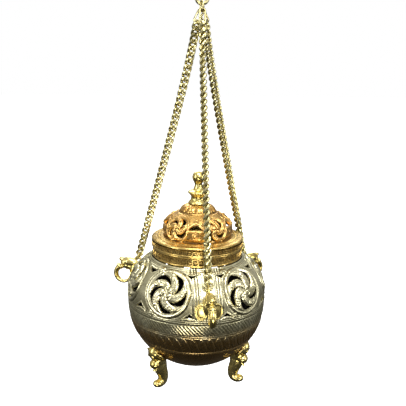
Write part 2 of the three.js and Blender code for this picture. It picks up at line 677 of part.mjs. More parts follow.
// Centre line of one chain in its radial plane, from the end link down to the jump ring.
function chainPath(index) {
  const grip = 2 * JUMP_RING_R - (JUMP_RING_WIRE + LINK_WIRE) / 2 - LINK_PLAY;
  const foot = v3(eyeR - grip * Math.sin(chainLean), 0, eyeZ + grip * Math.cos(chainLean));
  const head = v3(CHAIN_TOP_R, 0, endLinkSpan(index).head.z);
  return new THREE.QuadraticBezierCurve3(head, v3(CHAIN_BEND[0], 0, bendZ), foot);
}

// A curb link: an oval whose sides are waved out of its plane, so that it grips the next at an angle.
function curbLink(halfLength) {
  const halfWidth = (LINK_INSIDE + LINK_WIRE) / 2;
  const pointAt = (u) => {
    const a = 2 * Math.PI * u;
    return v3(halfWidth * Math.sin(a), LINK_WAVE * Math.sin(2 * a), halfLength * Math.cos(a));
  };
  return closedTube(pointAt, v3(0, 1, 0), LINK_WIRE / 2, 6, 4);
}

function chain(index) {
  const path = chainPath(index);
  const length = path.getLength();
  const count = Math.round((length - LINK_WIRE) / LINK_PITCH);
  const pitch = (length - LINK_WIRE + LINK_CONTACT) / count;
  const halfLength = (pitch + LINK_WIRE - LINK_CONTACT) / 2;
  const link = curbLink(halfLength);
  const links = [];
  for (let k = 0; k < count; k++) {
    const share = (halfLength + pitch * k) / length;
    const centre = path.getPointAt(share);
    const up = path.getTangentAt(share).negate();
    const side = v3(0, 1, 0);
    const frame = new THREE.Matrix4().makeBasis(side.clone().cross(up), side, up);
    const fromTop = Math.max(0, 1 - k / ROLL_LINKS);
    const fromEnd = Math.max(0, 1 - (count - 1 - k) / ROLL_LINKS);
    const rollDeg = TOP_ROLL_DEG[index] * fromTop + END_ROLL_DEG * fromEnd;
    const roll = new THREE.Matrix4().makeRotationZ(rad(rollDeg));
    links.push(link.clone().applyMatrix4(frame.multiply(roll).setPosition(centre)));
  }
  return geometryOf(join(links));
}

// The ring through a lug's eye, leaning with its chain.
function jumpRing() {
  const ring = new THREE.TorusGeometry(JUMP_RING_R, JUMP_RING_WIRE / 2, 6, 12).rotateX(Math.PI / 2);
  ring.rotateZ(Math.PI / 2).translate(0, 0, JUMP_RING_R).rotateY(-chainLean);
  return ring.translate(eyeR, 0, eyeZ);
}

// The plain link between the joining link and one chain, leaning out to the chain's first link.
function endLink(index) {
  const { seat, head } = endLinkSpan(index);
  const up = seat.clone().sub(head).normalize();
  const across = v3(0, 1, 0).cross(up).normalize();
  const through = up.clone().cross(across);
  const place = new THREE.Matrix4().makeBasis(across, through, up);
  const top = seat.clone().addScaledVector(up, (JOINING_LINK_WIRE + END_LINK_WIRE) / 2 + GAP);
  place.setPosition(top.addScaledVector(up, -END_LINK[1]));
  return ovalLoop(END_LINK, END_LINK_WIRE, END_LINK[0], 12, 6).applyMatrix4(place);
}

const joiningLink = () =>
  ovalLoop(JOINING_LINK, JOINING_LINK_WIRE, JOINING_LINK_CORNER, 16, 6)
    .rotateZ(Math.PI / 2)
    .translate(0, 0, joiningZ);
const suspensionRing = () =>
  new THREE.TorusGeometry(TOP_RING_R, TOP_RING_WIRE / 2, 6, 18)
    .rotateX(Math.PI / 2)
    .translate(0, 0, TOP_RING_Z);

// ---- Assembly -----------------------------------------------------------------------------------
const POLISHED = { color: 0xc9a544, roughness: 0.25, metalness: 1 };
const PALE = { color: 0xcfc79c, roughness: 0.3, metalness: 1 };
const CHAIN_BRASS = { color: 0xc8bd7c, roughness: 0.3, metalness: 1 };
const GOLDEN = { color: 0xb08a3e, roughness: 0.35, metalness: 1 };
const COPPER = { color: 0xb87a3a, roughness: 0.35, metalness: 1 };
const DARK = { color: 0x4a3a28, roughness: 0.6, metalness: 0.9 };

const censer = new THREE.Group();
censer.position.z = -HOOK_Z;

function addMesh(parent, name, geometry, finish) {
  const mesh = new THREE.Mesh(geometry, new THREE.MeshStandardMaterial(finish));
  mesh.name = name;
  parent.add(mesh);
}

addMesh(censer, "suspension_ring", suspensionRing(), CHAIN_BRASS);
addMesh(censer, "joining_link", joiningLink(), CHAIN_BRASS);
addMesh(censer, "bowl", bowl(), PALE);
addMesh(censer, "neck_collar", neckCollar(), GOLDEN);
addMesh(censer, "charcoal_pan", charcoalPan(), DARK);
addMesh(censer, "lid_rim", lidRim(), GOLDEN);
addMesh(censer, "lid_dome", lidDome(), COPPER);
addMesh(censer, "lid_crown", lidCrown(), COPPER);
addMesh(censer, "finial", finial(), POLISHED);
addMesh(censer, "finial_washer", finialWasher(), POLISHED);
addMesh(censer, "finial_nut", finialNut(), POLISHED);

const HANGER_NAMES = ["front", "right", "left"];
HANGER_NAMES.forEach((place, i) => {
  addMesh(censer, "chain_end_link_" + place, endLink(i), CHAIN_BRASS);
  const arm = new THREE.Group();
  arm.rotation.z = hangerTurn(i);
  censer.add(arm);
  addMesh(arm, "chain_" + place, chain(i), CHAIN_BRASS);
  addMesh(arm, "jump_ring_" + place, jumpRing(), CHAIN_BRASS);
  addMesh(arm, "lug_" + place, lug(), POLISHED);
  addMesh(arm, "lug_rivet_" + place, rivet(LUG_RIVET_Z), POLISHED);
});

const FOOT_NAMES = ["front_left", "front_right", "rear"];
FOOT_NAMES.forEach((place, i) => {
  const leg = new THREE.Group();
  leg.rotation.z = rad(FOOT_START_DEG + (360 / HANGERS) * i);
  censer.add(leg);
  addMesh(leg, "foot_" + place, foot(), POLISHED);
  addMesh(leg, "foot_rivet_" + place, rivet(FOOT_RIVET_Z), POLISHED);
});

const root = new THREE.Group();
root.add(censer);
export default root;
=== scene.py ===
# %% [markdown]
# # A small hanging censer
# A round-bellied brass bowl stands on three cast feet and hangs from one ring by three curb chains.
# Its upper wall and its lid are pierced, so that smoke can leave. The CAD model fixes every size;
# this script adds what a metalworker's hand adds: chased relief, real links, tarnish and wear.

# %% Load the frame
import math
import bpy
import numpy as np
from mathutils import Matrix, Vector


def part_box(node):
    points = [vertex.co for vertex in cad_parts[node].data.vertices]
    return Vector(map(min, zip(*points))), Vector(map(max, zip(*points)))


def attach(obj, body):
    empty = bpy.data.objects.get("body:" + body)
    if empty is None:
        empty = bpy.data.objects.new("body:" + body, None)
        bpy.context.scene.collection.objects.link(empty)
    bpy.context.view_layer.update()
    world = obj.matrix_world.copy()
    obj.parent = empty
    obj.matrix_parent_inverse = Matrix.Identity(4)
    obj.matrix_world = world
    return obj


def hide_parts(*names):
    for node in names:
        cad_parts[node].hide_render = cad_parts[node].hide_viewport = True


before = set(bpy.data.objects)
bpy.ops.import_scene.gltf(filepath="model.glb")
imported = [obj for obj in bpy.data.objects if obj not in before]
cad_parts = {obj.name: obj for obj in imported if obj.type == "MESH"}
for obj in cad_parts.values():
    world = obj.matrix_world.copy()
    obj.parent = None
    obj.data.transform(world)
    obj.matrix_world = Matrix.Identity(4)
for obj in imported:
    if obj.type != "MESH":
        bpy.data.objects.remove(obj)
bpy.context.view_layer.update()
MM = 1000  # the frame is in metres, and shapes are worked out in millimetres
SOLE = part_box("foot_rear")[0].z * MM
BOWL_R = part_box("bowl")[1].x * MM

# %% [markdown]
# ## Camera
# The camera comes first. It looks slightly down on the censer from a little to the left of the
# front lug, from under half a metre away, so the bowl shows some perspective.

# %% Camera
LENS, NEAREST = 56.75, 0.01
CAMERA_TILT, CAMERA_TURN, CAMERA_ROLL = (math.radians(d) for d in (13.31, 10.26, 1.22))
CAMERA_AIM = Vector((0.00345, -0.00063, -0.1425))
CAMERA_DISTANCE = 0.4559


def new_object(name, data):
    made = bpy.data.objects.new(name, data)
    bpy.context.scene.collection.objects.link(made)
    return made


ahead = Vector((math.sin(CAMERA_TURN) * math.cos(CAMERA_TILT),
                math.cos(CAMERA_TURN) * math.cos(CAMERA_TILT), -math.sin(CAMERA_TILT)))
camera = new_object("camera", bpy.data.cameras.new("camera"))
camera.data.lens = LENS
camera.data.clip_start = NEAREST
camera.matrix_world = (Matrix.Translation(CAMERA_AIM - ahead * CAMERA_DISTANCE)
                       @ ahead.to_track_quat("-Z", "Y").to_matrix().to_4x4()
                       @ Matrix.Rotation(CAMERA_ROLL, 4, "Z"))
bpy.context.scene.camera = camera
print("camera at", [round(x, 3) for x in camera.location])

# %% [markdown]
# ## Mesh helpers
# Shapes are worked out in millimetres above the soles of the feet, because those are the numbers
# that a maker would use. Each finished mesh is moved into the frame, in metres, as it is made.

# %% Mesh helpers
TINY = 1e-6


def in_frame(points):
    """Millimetres above the soles, turned into metres in the frame."""
    return ((np.asarray(points, float) + [0, 0, SOLE]) / MM).tolist()


def shade(mesh, sharp):
    mesh.polygons.foreach_set("use_smooth", [True] * len(mesh.polygons))
    mesh.set_sharp_from_angle(angle=math.radians(sharp))


def build(name, points, faces, finishes, finish_of=None, sharp=40):
    """A piece from points in millimetres; sharp is the angle from which an edge is a crease."""
    mesh = bpy.data.meshes.new(name)
    mesh.from_pydata(in_frame(points), [], faces)
    for finish in finishes:
        mesh.materials.append(finish)
    if finish_of is not None:
        mesh.polygons.foreach_set("material_index", finish_of)
    shade(mesh, sharp)
    return new_object(name, mesh)


def read(items, key, width, kind=float):
    """One property of all of a mesh's vertices or edges, as rows."""
    values = np.empty(len(items) * width, kind)
    items.foreach_get(key, values)
    return values.reshape(-1, width)


def neighbours_mean(values, edges, count):
    total = np.zeros((count,) + values.shape[1:])
    times = np.zeros(count)
    for a, b in ((0, 1), (1, 0)):
        np.add.at(total, edges[:, a], values[edges[:, b]])
        np.add.at(times, edges[:, a], 1)
    return total / np.maximum(times, 1).reshape((-1,) + (1,) * (values.ndim - 1))


def set_level(piece, label, values):
    layer = piece.data.attributes.get(label) or piece.data.attributes.new(label, "FLOAT", "POINT")
    layer.data.foreach_set("value", np.asarray(values, np.float32))


def tell_hollows(piece, scale=1.0, passes=2, carved=0.0):
    """Stores on each vertex how far it lies in a hollow and how far it stands on an edge, 0 to 1."""
    mesh = piece.data
    points, normals = read(mesh.vertices, "co", 3) * MM, read(mesh.vertices, "normal", 3)
    edges = read(mesh.edges, "vertices", 2, int)
    count = len(points)
    size = np.linalg.norm(points[edges[:, 0]] - points[edges[:, 1]], axis=1).mean()
    bend = ((neighbours_mean(points, edges, count) - points) * normals).sum(1) / size ** 2
    for _ in range(passes):
        bend = (bend + neighbours_mean(bend, edges, count)) / 2
    set_level(piece, "hollow", np.clip(bend * scale + carved, 0, 1))
    set_level(piece, "edge", np.clip(-bend * scale, 0, 1))


def smooth_step(low, high, value):
    t = np.clip((value - low) / (high - low), 0, 1)
    return t * t * (3 - 2 * t)


def soft_max(a, b, k):
    h = np.clip(0.5 + 0.5 * (a - b) / k, 0, 1)
    return b * (1 - h) + a * h + k * h * (1 - h)


def groove(distance, half_width):
    return np.exp(-(distance / half_width) ** 2)

def round_z(r, az, z):
    """Points at radius r and height z, turned az round Z."""
    return np.stack(np.broadcast_arrays(r * np.cos(az), r * np.sin(az), z), -1)


def running_total(steps):
    return np.concatenate([[0], np.cumsum(steps)])


def torus_faces(rows, columns):
    """Faces of a grid of points that closes on itself both ways."""
    return [[i * columns + j, i * columns + (j + 1) % columns,
             (i + 1) % rows * columns + (j + 1) % columns, (i + 1) % rows * columns + j]
            for i in range(rows) for j in range(columns)]
def turned(profile, segments):
    """Points and faces of a profile of [radius, height] turned round Z; a radius of 0 closes it."""
    points, rows = [], []
    for r, z in profile:
        if abs(r) < TINY:
            rows.append([len(points)] * segments)
            points.append((0, 0, z))
        else:
            rows.append(list(range(len(points), len(points) + segments)))
            angles = np.arange(segments) * 2 * math.pi / segments
            points += [(r * math.cos(a), r * math.sin(a), z) for a in angles]
    faces = []
    for low, high in zip(rows, rows[1:]):
        for i in range(segments):
            j = (i + 1) % segments
            corners = [low[i], low[j], high[j], high[i]]
            faces.append(list(dict.fromkeys(corners)))
    return points, [f for f in faces if len(f) > 2]


def spline(knots, count):
    """A smooth line through knots, as count points."""
    knots = np.asarray(knots, float)
    padded = np.vstack([2 * knots[0] - knots[1], knots, 2 * knots[-1] - knots[-2]])
    steps = np.linalg.norm(np.diff(knots, axis=0), axis=1)
    at = running_total(steps)
    found = []
    for s in np.linspace(0, at[-1], count):
        i = min(np.searchsorted(at, s, side="right") - 1, len(knots) - 2)
        t = (s - at[i]) / steps[i]
        a, b, c, d = padded[i:i + 4]
        found.append(0.5 * (2 * b + (c - a) * t + (2 * a - 5 * b + 4 * c - d) * t ** 2
                            + (3 * b - a - 3 * c + d) * t ** 3))
    return np.array(found)


def closed_tube(centres, side, radius, sides):
    """A wire round a closed line of centres; side is a direction that never runs along it."""
    along = np.roll(centres, -1, 0) - np.roll(centres, 1, 0)
    along /= np.linalg.norm(along, axis=1)[:, None]
    out = np.cross(along, side)
    out /= np.linalg.norm(out, axis=1)[:, None]
    up = np.cross(out, along)
    turn = np.arange(sides) * 2 * math.pi / sides
    radius = np.broadcast_to(radius, len(centres))[:, None, None]
    ring = centres[:, None] + radius * (np.cos(turn)[None, :, None] * out[:, None]
                                        + np.sin(turn)[None, :, None] * up[:, None])
    return ring.reshape(-1, 3), [f[::-1] for f in torus_faces(len(centres), sides)]


# %% [markdown]
# ## Metals
# All of it is brass or bronze, but each part has its own colour: the bowl is pale and almost
# silvery above and brown below the belly, the collar is golden, the lid is coppery, the castings are yellow.
# One recipe makes them all. A broad noise mixes two tones of the metal, a finer one varies the
# polish, hollows are filled with dark tarnish, and edges are rubbed bright.

# %% Metals
def node(tree, kind, inputs=None, **settings):
    made = tree.nodes.new(kind)
    for key, value in settings.items():
        setattr(made, key, value)
    for key, value in (inputs or {}).items():
        if isinstance(value, bpy.types.NodeSocket):
            tree.links.new(value, made.inputs[key])
        else:
            made.inputs[key].default_value = value
    return made


def blend(tree, share, first, second):
    return node(tree, "ShaderNodeMix", {0: share, 6: first, 7: second}, data_type="RGBA").outputs[2]


def ramp(tree, value, low, high, to_low=0.0, to_high=1.0):
    given = {0: value, 1: low, 2: high, 3: to_low, 4: to_high}
    return node(tree, "ShaderNodeMapRange", given).outputs[0]


def maths(tree, operation, *values, **settings):
    given = dict(enumerate(values))
    return node(tree, "ShaderNodeMath", given, operation=operation, **settings).outputs[0]


def noise(tree, place, scale, detail, roughness):
    given = {"Vector": place, "Scale": scale, "Detail": detail, "Roughness": roughness}
    return node(tree, "ShaderNodeTexNoise", given).outputs["Fac"]


def bump(tree, strength, distance, height, **more):
    given = {"Strength": strength, "Distance": distance, "Height": height, **more}
    return node(tree, "ShaderNodeBump", given).outputs[0]


def opaque(colour):
    return tuple(colour) + (1,)


def new_finish(name):
    """A new material, its node tree, its shader's inputs and the place on the piece."""
    made = bpy.data.materials.new(name)
    made.use_nodes = True
    tree = made.node_tree
    place = node(tree, "ShaderNodeTexCoord").outputs["Object"]
    return made, tree, tree.nodes["Principled BSDF"].inputs, place


BROAD, FINE, STAIN = (95.0, 5.0, 0.6), (620.0, 4.0, 0.65), (240.0, 6.0, 0.7)  # scale, detail, roughness
DENT_SIZE, GRAIN_SIZE = 0.0016, 0.0002
WANDER = 0.012  # how far the border of a second tone strays, in metres


def metal(name, bright, body, tarnish, polish, depth=0.9, below=None, grain=0.12):
    """A worn metal; below is a second tone and the heights where it starts and where it is full."""
    made, tree, shader, place = new_finish(name)
    shader["Metallic"].default_value = 1.0
    broad, fine, stain = (noise(tree, place, *kind) for kind in (BROAD, FINE, STAIN))
    hollow, edge = (node(tree, "ShaderNodeAttribute", attribute_name=label).outputs["Fac"]
                    for label in ("hollow", "edge"))
    colour = blend(tree, ramp(tree, broad, 0.36, 0.64), opaque(body), opaque(bright))
    if below:
        tone, start, full = below
        height = node(tree, "ShaderNodeSeparateXYZ", {0: place}).outputs["Z"]
        border = maths(tree, "MULTIPLY_ADD", broad, WANDER, height)
        share = ramp(tree, border, *((z + SOLE) / MM + WANDER / 2 for z in (start, full)))
        colour = blend(tree, share, colour, blend(tree, broad, opaque(tone[0]), opaque(tone[1])))
    dirt = maths(tree, "MULTIPLY", hollow, ramp(tree, stain, 0.3, 0.7, 0.6, 1.35), use_clamp=True)
    colour = blend(tree, maths(tree, "MULTIPLY", dirt, depth), colour, opaque(tarnish))
    rubbed = opaque(min(1, c * 1.18 + 0.03) for c in bright)
    colour = blend(tree, maths(tree, "MULTIPLY", edge, 0.55), colour, rubbed)
    tree.links.new(colour, shader["Base Color"])
    rough = ramp(tree, fine, 0.3, 0.7, *polish)
    rough = maths(tree, "MULTIPLY_ADD", dirt, 0.35, rough, use_clamp=True)
    tree.links.new(rough, shader["Roughness"])
    dents = bump(tree, grain, DENT_SIZE, broad)
    tree.links.new(bump(tree, grain * 0.8, GRAIN_SIZE, fine, Normal=dents), shader["Normal"])
    return made


PALE = metal("pale_bowl_brass", (0.70, 0.65, 0.43), (0.47, 0.43, 0.25), (0.03, 0.026, 0.01), (0.2, 0.38),
             0.92, below=(((0.52, 0.32, 0.1), (0.3, 0.17, 0.05)), 56, 46))
GOLDEN = metal("golden_collar_bronze", (0.68, 0.48, 0.16), (0.47, 0.31, 0.085), (0.04, 0.022, 0.005),
               (0.22, 0.38))
COPPER = metal("coppery_lid_bronze", (0.72, 0.46, 0.15), (0.5, 0.27, 0.07), (0.03, 0.012, 0.003),
               (0.22, 0.38), 0.95)
YELLOW = metal("cast_yellow_brass", (0.74, 0.61, 0.24), (0.52, 0.4, 0.12), (0.04, 0.028, 0.005),
               (0.2, 0.36), 0.8, grain=0.05)
WIRE = metal("drawn_chain_brass", (0.66, 0.6, 0.33), (0.44, 0.38, 0.17), (0.03, 0.026, 0.008),
             (0.2, 0.36), 0.95)

# %% [markdown]
# The inside is blackened by years of charcoal. Soot isn't metal: it is dull, almost black, and
# slightly brown in places, with a crust that breaks up the light.

# %% Soot
def soot():
    made, tree, shader, place = new_finish("charcoal_soot")
    crust = noise(tree, place, 300.0, 8.0, 0.7)
    black = blend(tree, crust, (0.006, 0.005, 0.004, 1), (0.03, 0.02, 0.012, 1))
    tree.links.new(black, shader["Base Color"])
    tree.links.new(ramp(tree, crust, 0.3, 0.7, 0.75, 0.95), shader["Roughness"])
    tree.links.new(bump(tree, 0.5, 0.0004, crust), shader["Normal"])
    return made


SOOT = soot()
print("finishes:", [m.name for m in (PALE, GOLDEN, COPPER, YELLOW, WIRE, SOOT)])

# %% [markdown]
# ## The bowl's outline
# Below the belly the bowl is half a sphere. Above it the wall swells out and turns in quickly, a
# superellipse. Ornament is laid out by arc length along this outline, so it isn't stretched.

# %% The bowl's outline
BELLY, RISE, POWER, WALL, MOUTH_R = 62.0, 38.9, 2.5, 1.6, 32.8
CHORD = 0.05  # an outward direction is measured this far to each side

quarter_turn = np.linspace(0, math.pi / 2, 4001)
upper_r = BOWL_R * np.cos(quarter_turn) ** (2 / POWER)
upper_z = BELLY + RISE * np.sin(quarter_turn) ** (2 / POWER)
upper_s = running_total(np.hypot(np.diff(upper_r), np.diff(upper_z)))
MOUTH_S = float(np.interp(-MOUTH_R, -upper_r, upper_s))


def table_line(s, table_s, table_r, table_z):
    """Radius, height and outward direction at arc length s of an outline kept as a table."""
    high, low = np.maximum(s + CHORD, 0.01), s - CHORD
    tr = np.interp(high, table_s, table_r) - np.interp(low, table_s, table_r)
    tz = np.interp(high, table_s, table_z) - np.interp(low, table_s, table_z)
    size = np.hypot(tr, tz)
    return np.interp(s, table_s, table_r), np.interp(s, table_s, table_z), tz / size, -tr / size


def bowl_line(s):
    """The same for the bowl: s runs up from the belly, and is negative below it."""
    s = np.asarray(s, float)
    turn = s / BOWL_R
    below = BOWL_R * np.cos(turn), BELLY + BOWL_R * np.sin(turn), np.cos(turn), np.sin(turn)
    return [np.where(s < 0, a, b) for a, b in zip(below, table_line(s, upper_s, upper_r, upper_z))]


def drawing_on(line, azimuth, s):
    """Where a flat drawing touches a turned wall, and its directions round, up and outward."""
    r, z, nr, nz = (float(v) for v in line(s))
    a = math.radians(azimuth)
    out = np.array([nr * math.cos(a), nr * math.sin(a), nz])
    sideways = np.array([-math.sin(a), math.cos(a), 0])
    return np.array([r * math.cos(a), r * math.sin(a), z]), sideways, np.cross(out, sideways), out


def on_drawing(points, place):
    origin, sideways, up, out = place
    rel = points - origin
    return rel @ sideways, rel @ up, rel @ out


LUGS = {"front": -90, "right": 30, "left": 150}
FEET = {"front_left": -150, "front_right": -30, "rear": 90}
print("bowl wall above the belly:", round(MOUTH_S, 1), "mm along its curve")

# %% [markdown]
# ## Pierced walls
# The wall is a fine grid wrapped round the outline. A function says how far each point is from the
# edge of a hole, and the cells that the edge crosses are cut along it, so that the rims are clean.
# The outside is pushed out and in by the relief; the inside stays smooth. Strips join the two
# round each hole, because the thickness of the wall shows there.

# %% Pierced walls
def pierced_wall(name, az, s, line, design, wall, finish, tarnish_scale):
    az_grid, s_grid = np.meshgrid(az, s, indexing="ij")
    r, z, nr, nz = line(s_grid)
    base, normal = round_z(r, az_grid, z), round_z(nr, az_grid, nz)
    gap, relief = design(base, az_grid, s_grid)
    outer = (base + normal * relief[..., None]).reshape(-1, 3)
    inner = (base - normal * wall).reshape(-1, 3)
    gap = gap.reshape(-1)
    solid = gap > 0
    rows, columns = len(az), len(s)
    index = np.arange(rows * columns).reshape(rows, columns)
    corners = np.stack([index[:-1, :-1], index[1:, :-1], index[1:, 1:], index[:-1, 1:]], -1)
    corners = corners.reshape(-1, 4)
    held = solid[corners].sum(1)
    used = np.full(len(gap), -1)
    used[solid] = np.arange(solid.sum())
    top, under = [outer[solid]], [inner[solid]]
    cuts, count = {}, int(solid.sum())

    def cut_at(a, b):
        nonlocal count
        key = (min(a, b), max(a, b))
        if key not in cuts:
            t = gap[key[0]] / (gap[key[0]] - gap[key[1]])
            t = min(max(t, 0.02), 0.98)
            top.append((outer[key[0]] * (1 - t) + outer[key[1]] * t)[None])
            under.append((inner[key[0]] * (1 - t) + inner[key[1]] * t)[None])
            cuts[key] = count
            count += 1
        return cuts[key]

    faces = used[corners[held == 4]].tolist()
    rims = []
    for quad in corners[(held > 0) & (held < 4)]:
        ring, leaving = [], []
        for a, b in zip(quad, np.roll(quad, -1)):
            if solid[a]:
                ring.append(int(used[a]))
            if solid[a] != solid[b]:
                ring.append(cut_at(int(a), int(b)))
                leaving.append((ring[-1], bool(solid[a])))
        faces.append(ring)
        for k, (vertex, going_out) in enumerate(leaving):
            if going_out:
                rims.append((vertex, leaving[(k + 1) % len(leaving)][0]))
    points = np.vstack(top + under)
    back = [[v + count for v in reversed(f)] for f in faces]
    sides = [[b, a, a + count, b + count] for a, b in rims]
    which = [0] * len(faces) + [1] * len(back) + [0] * len(sides)
    piece = build(name, points, faces + back + sides, [finish, SOOT], which)
    carved = np.zeros(2 * count)
    carved[:solid.sum()] = 0.8 * smooth_step(-0.05, -0.32, relief.reshape(-1)[solid])
    carved[solid.sum():count] = 0.5
    tell_hollows(piece, tarnish_scale, carved=carved)
    print(name, len(faces) * 2 + len(sides), "faces,", len(rims), "round its holes")
    return piece


# %% [markdown]
# ## The medallions
# Each is a pinwheel of curled leaves inside a raised frame. The dark gaps between the leaves start
# at the hub and open towards the frame. Every leaf is a soft pillow with a vein and a small volute
# chased on its head, and the hub carries a spiral. One function draws it for bowl and lid.

# %% Medallions
def volute(x, y, radius, hand=1):
    """A coiled groove on a small dome: the height it adds at a point."""
    rho = np.hypot(x, y)
    pitch = radius / 1.75
    coil = (rho - hand * pitch * np.arctan2(y, x) / (2 * math.pi)) % pitch - pitch / 2
    inside = smooth_step(radius * 1.12, radius * 0.8, rho)
    dome_part = 0.5 * np.clip(1 - (rho / radius) ** 2, 0, 1)
    return inside * (dome_part - 0.38 * groove(coil, 0.16 * radius / 1.75 + 0.08))


def leaf_gap(rho, turn, leaves, hub, reach, sweep, opening):
    """Distance to the nearest gap, how far round from its middle a point is, and the gaps' spacing."""
    t = np.clip((rho - hub) / (reach - hub), 0, 1)
    low, high = sweep * t ** 1.3, (sweep + opening) * t
    pitch = 360 / leaves
    off = (turn - (low + high) / 2 + pitch / 2) % pitch - pitch / 2
    beside = (np.abs(off) - (high - low) / 2) * np.radians(1) * rho * 0.72
    return soft_max(beside, rho - reach, 1.0), off, pitch


def medallion(x, y, leaves, hub, reach, sweep, opening, frame_width=1.9, leaf_rise=0.9):
    """Distance to the gaps and height of the relief, for a pinwheel round the origin."""
    rho, turn = np.hypot(x, y) + TINY, np.degrees(np.arctan2(y, x))
    gap, off, pitch = leaf_gap(rho, turn, leaves, hub, reach, sweep, opening)
    within = smooth_step(reach + 0.9, reach - 0.5, rho)
    height = within * leaf_rise * (1 - np.exp(-np.clip(gap, 0, None) / (reach * 0.085)))
    from_vein = (pitch / 2 - np.abs(off)) * np.radians(1) * rho
    height -= (within * 0.34 * groove(from_vein, 0.34) * smooth_step(hub, hub * 1.3, rho)
               * smooth_step(reach * 0.8, reach * 0.6, rho))
    head = reach * 0.79
    t = (head - hub) / (reach - hub)
    middle = (sweep * t ** 1.3 + (sweep + opening) * t) / 2 + pitch / 2
    for k in range(leaves):
        a = math.radians(middle + pitch * k)
        height += within * 1.15 * volute(x - head * math.cos(a), y - head * math.sin(a), reach * 0.24)
    height += smooth_step(hub * 1.15, hub * 0.8, rho) * 0.25 + volute(x, y, hub * 0.95)
    band = rho - (reach + 0.55 + frame_width / 2)
    height += 0.65 * np.clip(1 - (band / (frame_width / 2)) ** 2, 0, 1) ** 0.7
    height -= 0.3 * groove(band - frame_width / 2 - 0.5, 0.3)
    return gap, height


# %% [markdown]
# ## The bowl's upper wall
# Two medallions stand beside each lug, with a plain panel of upright lines between them, volutes
# in the corners and small three-cornered piercings above and below. A double line closes the
# belly, then come a band of slanting cuts and a band of laurel leaves on the brown lower half.

# %% Ornament of the bowl
MEDALLION_TURN = 35  # degrees to each side of a lug
MEDALLION = {"leaves": 5, "hub": 5.0, "reach": 13.8, "sweep": 46, "opening": 38}
SIDES = (-1, 1)
NO_HOLE = 9.0  # a distance that is far from any hole


def bowl_s(height):
    return float(np.interp(height, upper_z, upper_s))


medallion_places = [drawing_on(bowl_line, lug + side * MEDALLION_TURN, bowl_s(80.5))
                    for lug in LUGS.values() for side in SIDES]
corner_places = [(drawing_on(bowl_line, lug + side * MEDALLION_TURN / 2.35, bowl_s(h)), flip, 1.0)
                 for lug in LUGS.values() for side in SIDES for h, flip in ((91, -1), (66.5, 1))]
corner_places += [(drawing_on(bowl_line, lug + 60, bowl_s(h)), flip, 1.35)
                  for lug in LUGS.values() for h, flip in ((90.8, -1), (67.2, 1))]


def corner_hole(x, y, flip, scale):
    """A squat three-cornered hole with its point down (flip -1) or up (flip 1)."""
    x, y = x / scale, y * flip / scale
    slope = np.abs(x) * 0.62 + y * 0.78 - 1.35
    return scale * soft_max(slope, -y - 0.75 - 0.05 * x * x, 0.3)


def bowl_design(points, az, s):
    gap, height = np.full(az.shape, NO_HOLE), np.zeros(az.shape)
    taken = np.zeros(az.shape)
    for place in medallion_places:
        x, y, out = on_drawing(points, place)
        near = (np.hypot(x, y) < 21) & (out > -9)
        hole, rise = medallion(x[near], y[near], **MEDALLION)
        for turn, far, size, hand in ((122, 17.2, 3.5, 1), (232, 18.4, 3.0, -1)):
            a = math.radians(turn)
            rise += 1.2 * volute(x[near] - far * math.cos(a), y[near] - far * math.sin(a), size, hand)
        gap[near] = np.minimum(gap[near], hole)
        height[near] += rise
        taken[near] = np.maximum(taken[near], smooth_step(18.6, 17.4, np.hypot(x[near], y[near])))
    for place, flip, scale in corner_places:
        x, y, out = on_drawing(points, place)
        near = (np.hypot(x, y) < 6) & (out > -4)
        hole = corner_hole(x[near], y[near], flip, scale)
        gap[near] = np.minimum(gap[near], hole)
        height[near] += (1 - taken[near]) * 0.3 * groove(hole - 0.5, 0.4)
    height -= 0.25 * smooth_step(1.8, 3, s) * smooth_step(14, 9, s)
    free = 1 - taken
    to_lug = np.abs((np.degrees(az) + 90 + 60) % 120 - 60) * np.radians(1) * bowl_line(s)[0]
    for far in (6.4, 8.2, 10.4):
        height -= free * 0.32 * groove(to_lug - far, 0.38) * smooth_step(1.5, 3.5, s)
    height -= (free * 0.14 * groove((to_lug - 2.2) % 2.1 - 1.05, 0.2) * smooth_step(6.2, 5.4, to_lug)
               * smooth_step(MOUTH_S - 3.4, MOUTH_S - 4.6, s))
    for line, deep in ((0.4, 0.34), (1.7, 0.3), (MOUTH_S - 1.6, 0.3), (MOUTH_S - 2.8, 0.25)):
        height -= deep * groove(s - line, 0.36)
    height -= 0.4 * groove(np.clip(gap, 0, None), 0.3)
    return gap, height


def belly_design(points, az, s):
    height = np.zeros(az.shape)
    cuts = smooth_step(-1.6, -2.3, s) * smooth_step(-9.2, -8.4, s)
    height -= cuts * 0.3 * groove((az * BOWL_R / 2.62 + s * 0.33) % 1 - 0.5, 0.17)
    for line in (-1.2, -9.7, -10.9, -25.2, -26.5):
        height -= 0.34 * groove(s - line, 0.38)
    down = np.clip((-s - 11.6) / 12.8, 0, 1)
    across = (az * BOWL_R / 6.16 - 0.75 * down + 0.16 * np.sin(math.pi * down)) % 1 - 0.5
    half = 0.47 * np.sin(math.pi * np.clip(down, 0.02, 0.98)) ** 0.55
    leaf = smooth_step(-11.2, -11.9, s) * smooth_step(-24.9, -24.2, s)
    side = np.abs(across)
    height += leaf * (0.28 * smooth_step(0.06, -0.1, side - half) - 0.3 * groove(side - half, 0.06)
                      - 0.22 * groove(across, 0.045)
                      - 0.12 * groove((down * 7 + side * 3.2) % 1 - 0.5, 0.2) * (side < half))
    return np.full(az.shape, NO_HOLE), height


# %% Make the bowl
BAND_S = 28  # arc length from the belly down to the plain base
TARNISH = 1.5

